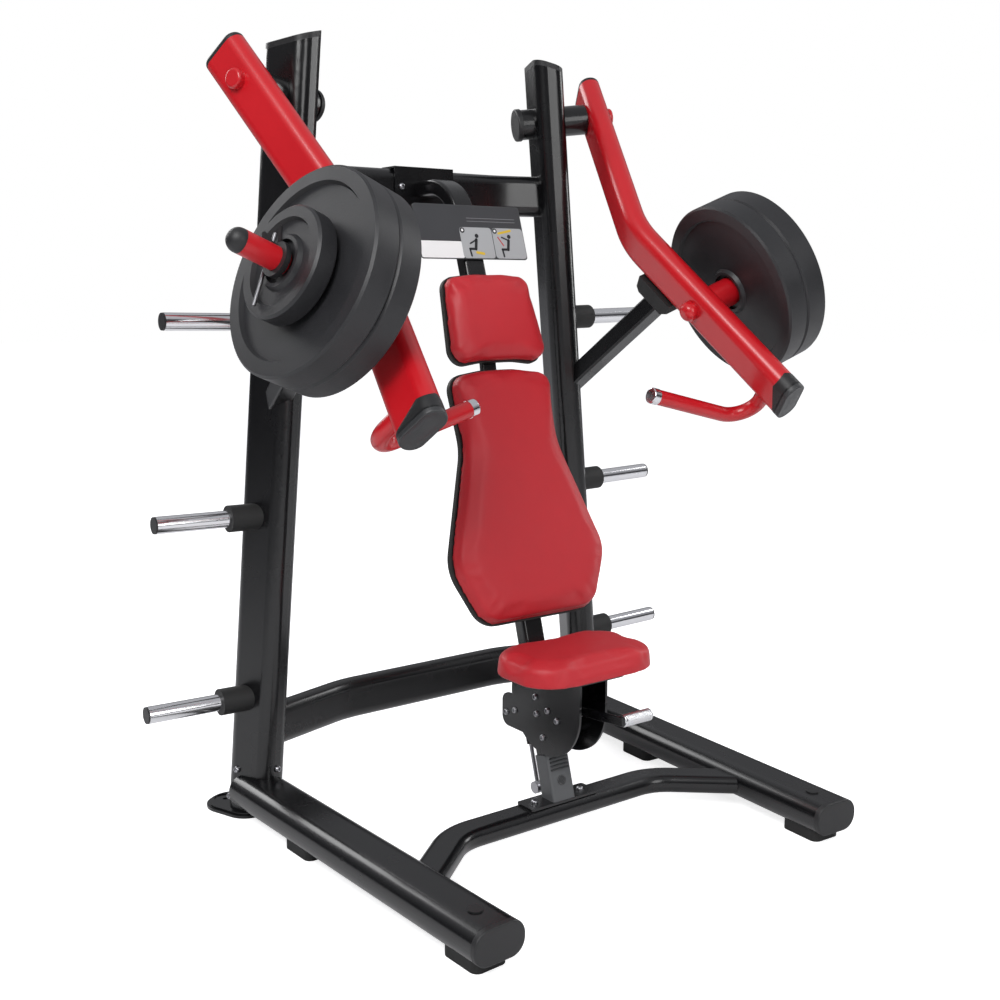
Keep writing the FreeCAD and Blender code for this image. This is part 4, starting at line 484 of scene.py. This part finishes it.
def dress_clip(side_name, side):
    """The clip's ring is dark and its wire bright; two dark ears stand on the ring's front."""
    axis = Vector((SLEEVE.x * side, SLEEVE.y, SLEEVE.z))
    node = nodes[f"{side_name}_clip"]
    world = [node.matrix_world @ vertex.co for vertex in node.data.vertices]
    cap = [Vector(corner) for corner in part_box(f"{side_name}_small_plate")]
    hub = (cap[0] + cap[1]) / 2
    for slot in node.material_slots:
        slot.material = FINISHES["wire"]
    node.data.materials.append(FINISHES["black_plastic"])
    dark = len(node.data.materials) - 1
    from_axis = [(point - hub - axis * axis.dot(point - hub)).length for point in world]
    for polygon in node.data.polygons:
        if all(from_axis[i] < CLIP_RING for i in polygon.vertices):
            polygon.material_index = dark
    front = max(axis.dot(point - hub) for point in world)
    up = (Vector((0, 0, 1)) - axis * axis.z).normalized()
    across = axis.cross(up)
    mesh = bpy.data.meshes.new("ears")
    shape = bmesh.new()
    for turn, tip in EAR_TURNS:
        profile = ((0.026, turn, 0.0), (0.026, turn + 0.42, 0.0), (0.058, tip + 0.26, 0.018),
                   (0.064, tip + 0.10, 0.022), (0.062, tip, 0.020))
        sheets = []
        for depth in (0.0, EAR_THICK):
            base = hub + axis * (front - EAR_OVERLAP + depth)
            sheets.append([shape.verts.new(base + axis * lift + up * math.cos(angle) * radius
                                           + across * math.sin(angle) * radius)
                           for radius, angle, lift in profile])
        shape.faces.new(sheets[0])
        shape.faces.new(sheets[1])
        bridge(shape, *sheets)
    bmesh.ops.recalc_face_normals(shape, faces=shape.faces)
    bmesh.ops.bevel(shape, geom=list(shape.edges), offset=0.0008, segments=2, affect="EDGES")
    shape.to_mesh(mesh)
    ears = link(f"{side_name}_clip_ears", mesh, "black_plastic", f"{side_name}_clip_body")


for side_name, side in SIDES:
    dress_clip(side_name, side)


# ------------------------------------------------------------------ post foot cover

PLUG_SIDES = 40
RIB_CORNERS = ((-0.027, 0, 0), (0.027, 0, 0), (0.027, 0.005, 0), (-0.027, 0.005, 0),
               (-0.026, 0.0008, 0.0055), (0.026, 0.0008, 0.0055), (0.026, 0.0036, 0.0055),
               (-0.026, 0.0036, 0.0055))
RIB_FACES = ((0, 1, 2, 3), (4, 5, 6, 7), (0, 1, 5, 4), (1, 2, 6, 5), (2, 3, 7, 6), (3, 0, 4, 7))


def make_boot_ribs():
    """Raised ribs across the top of the foot cover's front, and a round plug under them."""
    lean = math.radians(POST_LEAN)
    upwards = Vector((0.0, math.sin(lean), math.cos(lean)))
    outwards = Vector((0.0, -math.cos(lean), math.sin(lean)))
    node = nodes["post_boot"]
    world = [node.matrix_world @ vertex.co for vertex in node.data.vertices]
    face = max(outwards.dot(point) for point in world)
    top = max(upwards.dot(point) for point in world)
    mesh = bpy.data.meshes.new("ribs")
    shape = bmesh.new()
    for rib in range(4):
        height = top - 0.008 - rib * 0.009
        low = upwards * (height - 0.005) + outwards * (face - 0.002)
        corners = []
        for across, rise, depth in RIB_CORNERS:
            spot = low + Vector((across, 0, 0)) + upwards * rise + outwards * depth
            corners.append(shape.verts.new(spot))
        for face_corners in RIB_FACES:
            shape.faces.new([corners[i] for i in face_corners])
    middle = upwards * (top - 0.066) + outwards * face
    rings = []
    for radius, depth in ((0.0125, -0.001), (0.0125, 0.0012), (0.0105, 0.0020), (0.0085, 0.0006),
                          (0.0050, 0.0004), (0.0040, 0.0012)):
        ring = []
        for i in range(PLUG_SIDES):
            turn = 2 * math.pi * i / PLUG_SIDES
            ring.append(shape.verts.new(middle + outwards * depth + Vector((radius * math.cos(turn), 0, 0))
                                        + upwards * radius * math.sin(turn)))
        rings.append(ring)
    bridge(shape, *rings)
    shape.faces.new(rings[0])
    shape.faces.new(rings[-1])
    bmesh.ops.recalc_face_normals(shape, faces=shape.faces)
    shape.to_mesh(mesh)
    ribs = link("boot_ribs", mesh, END_GREY)


make_boot_ribs()


# ------------------------------------------------------------------ studio

def make_light(name, place, target, size, power, color=(1, 1, 1)):
    data = bpy.data.lights.new(name, "AREA")
    data.shape = "RECTANGLE"
    data.size, data.size_y = size
    data.energy = power
    data.color = color
    light = bpy.data.objects.new(name, data)
    light.location = place
    aim = Vector(target) - Vector(place)
    light.rotation_euler = aim.to_track_quat("-Z", "Y").to_euler()
    bpy.context.collection.objects.link(light)


def make_studio():
    """A pale floor, a white surround for the camera and large soft lights."""
    world = bpy.data.worlds.new("studio")
    bpy.context.scene.world = world
    world.use_nodes = True
    tree = world.node_tree
    surround = tree.nodes["Background"]
    surround.inputs["Strength"].default_value = 0.5
    heading = tree.nodes.new("ShaderNodeTexCoord")
    split = tree.nodes.new("ShaderNodeSeparateXYZ")
    sky = tree.nodes.new("ShaderNodeValToRGB")
    sky.color_ramp.elements[0].position, sky.color_ramp.elements[0].color = 0.10, (0.05, 0.05, 0.055, 1.0)
    sky.color_ramp.elements[1].position, sky.color_ramp.elements[1].color = 0.62, (0.95, 0.96, 1.0, 1.0)
    tree.links.new(heading.outputs["Generated"], split.inputs[0])
    tree.links.new(split.outputs["Z"], sky.inputs["Fac"])
    tree.links.new(sky.outputs["Color"], surround.inputs["Color"])
    seen = tree.nodes.new("ShaderNodeBackground")
    seen.inputs["Color"].default_value = (1.0, 1.0, 1.0, 1.0)
    seen.inputs["Strength"].default_value = 1.0
    path = tree.nodes.new("ShaderNodeLightPath")
    mix = tree.nodes.new("ShaderNodeMixShader")
    tree.links.new(path.outputs["Is Camera Ray"], mix.inputs[0])
    tree.links.new(surround.outputs[0], mix.inputs[1])
    tree.links.new(seen.outputs[0], mix.inputs[2])
    tree.links.new(mix.outputs[0], tree.nodes["World Output"].inputs[0])

    mesh = bpy.data.meshes.new("floor")
    shape = bmesh.new()
    bmesh.ops.create_circle(shape, cap_ends=True, radius=30.0, segments=96)
    shape.to_mesh(mesh)
    floor = bpy.data.objects.new("floor", mesh)
    bpy.context.collection.objects.link(floor)
    pale = make_material("pale_floor", (0.80, 0.80, 0.81), 0.8, grain=30, bump=0.02, mottle=0.01)
    shader = pale.node_tree.nodes["Principled BSDF"]
    shader.inputs["Emission Color"].default_value = (1.0, 1.0, 1.0, 1.0)
    sight = pale.node_tree.nodes.new("ShaderNodeLightPath")
    glow = pale.node_tree.nodes.new("ShaderNodeMath")
    glow.operation = "MULTIPLY"
    glow.inputs[1].default_value = 0.74
    pale.node_tree.links.new(sight.outputs["Is Camera Ray"], glow.inputs[0])
    pale.node_tree.links.new(glow.outputs[0], shader.inputs["Emission Strength"])
    mesh.materials.append(pale)
    floor.location.z = -0.0005

    make_light("key", (-3.6, -2.4, 4.4), (0, 0, 0.9), (2.6, 2.6), 210)
    make_light("front", (0.6, -5.2, 2.6), (0, 0, 0.9), (2.0, 3.0), 70)
    make_light("side", (4.4, -0.8, 2.4), (0, 0, 0.9), (1.2, 3.4), 60)
    make_light("back", (-1.0, 4.6, 3.4), (0, 0, 1.0), (3.0, 2.0), 90)


make_studio()
bpy.context.scene.view_settings.view_transform = "Standard"
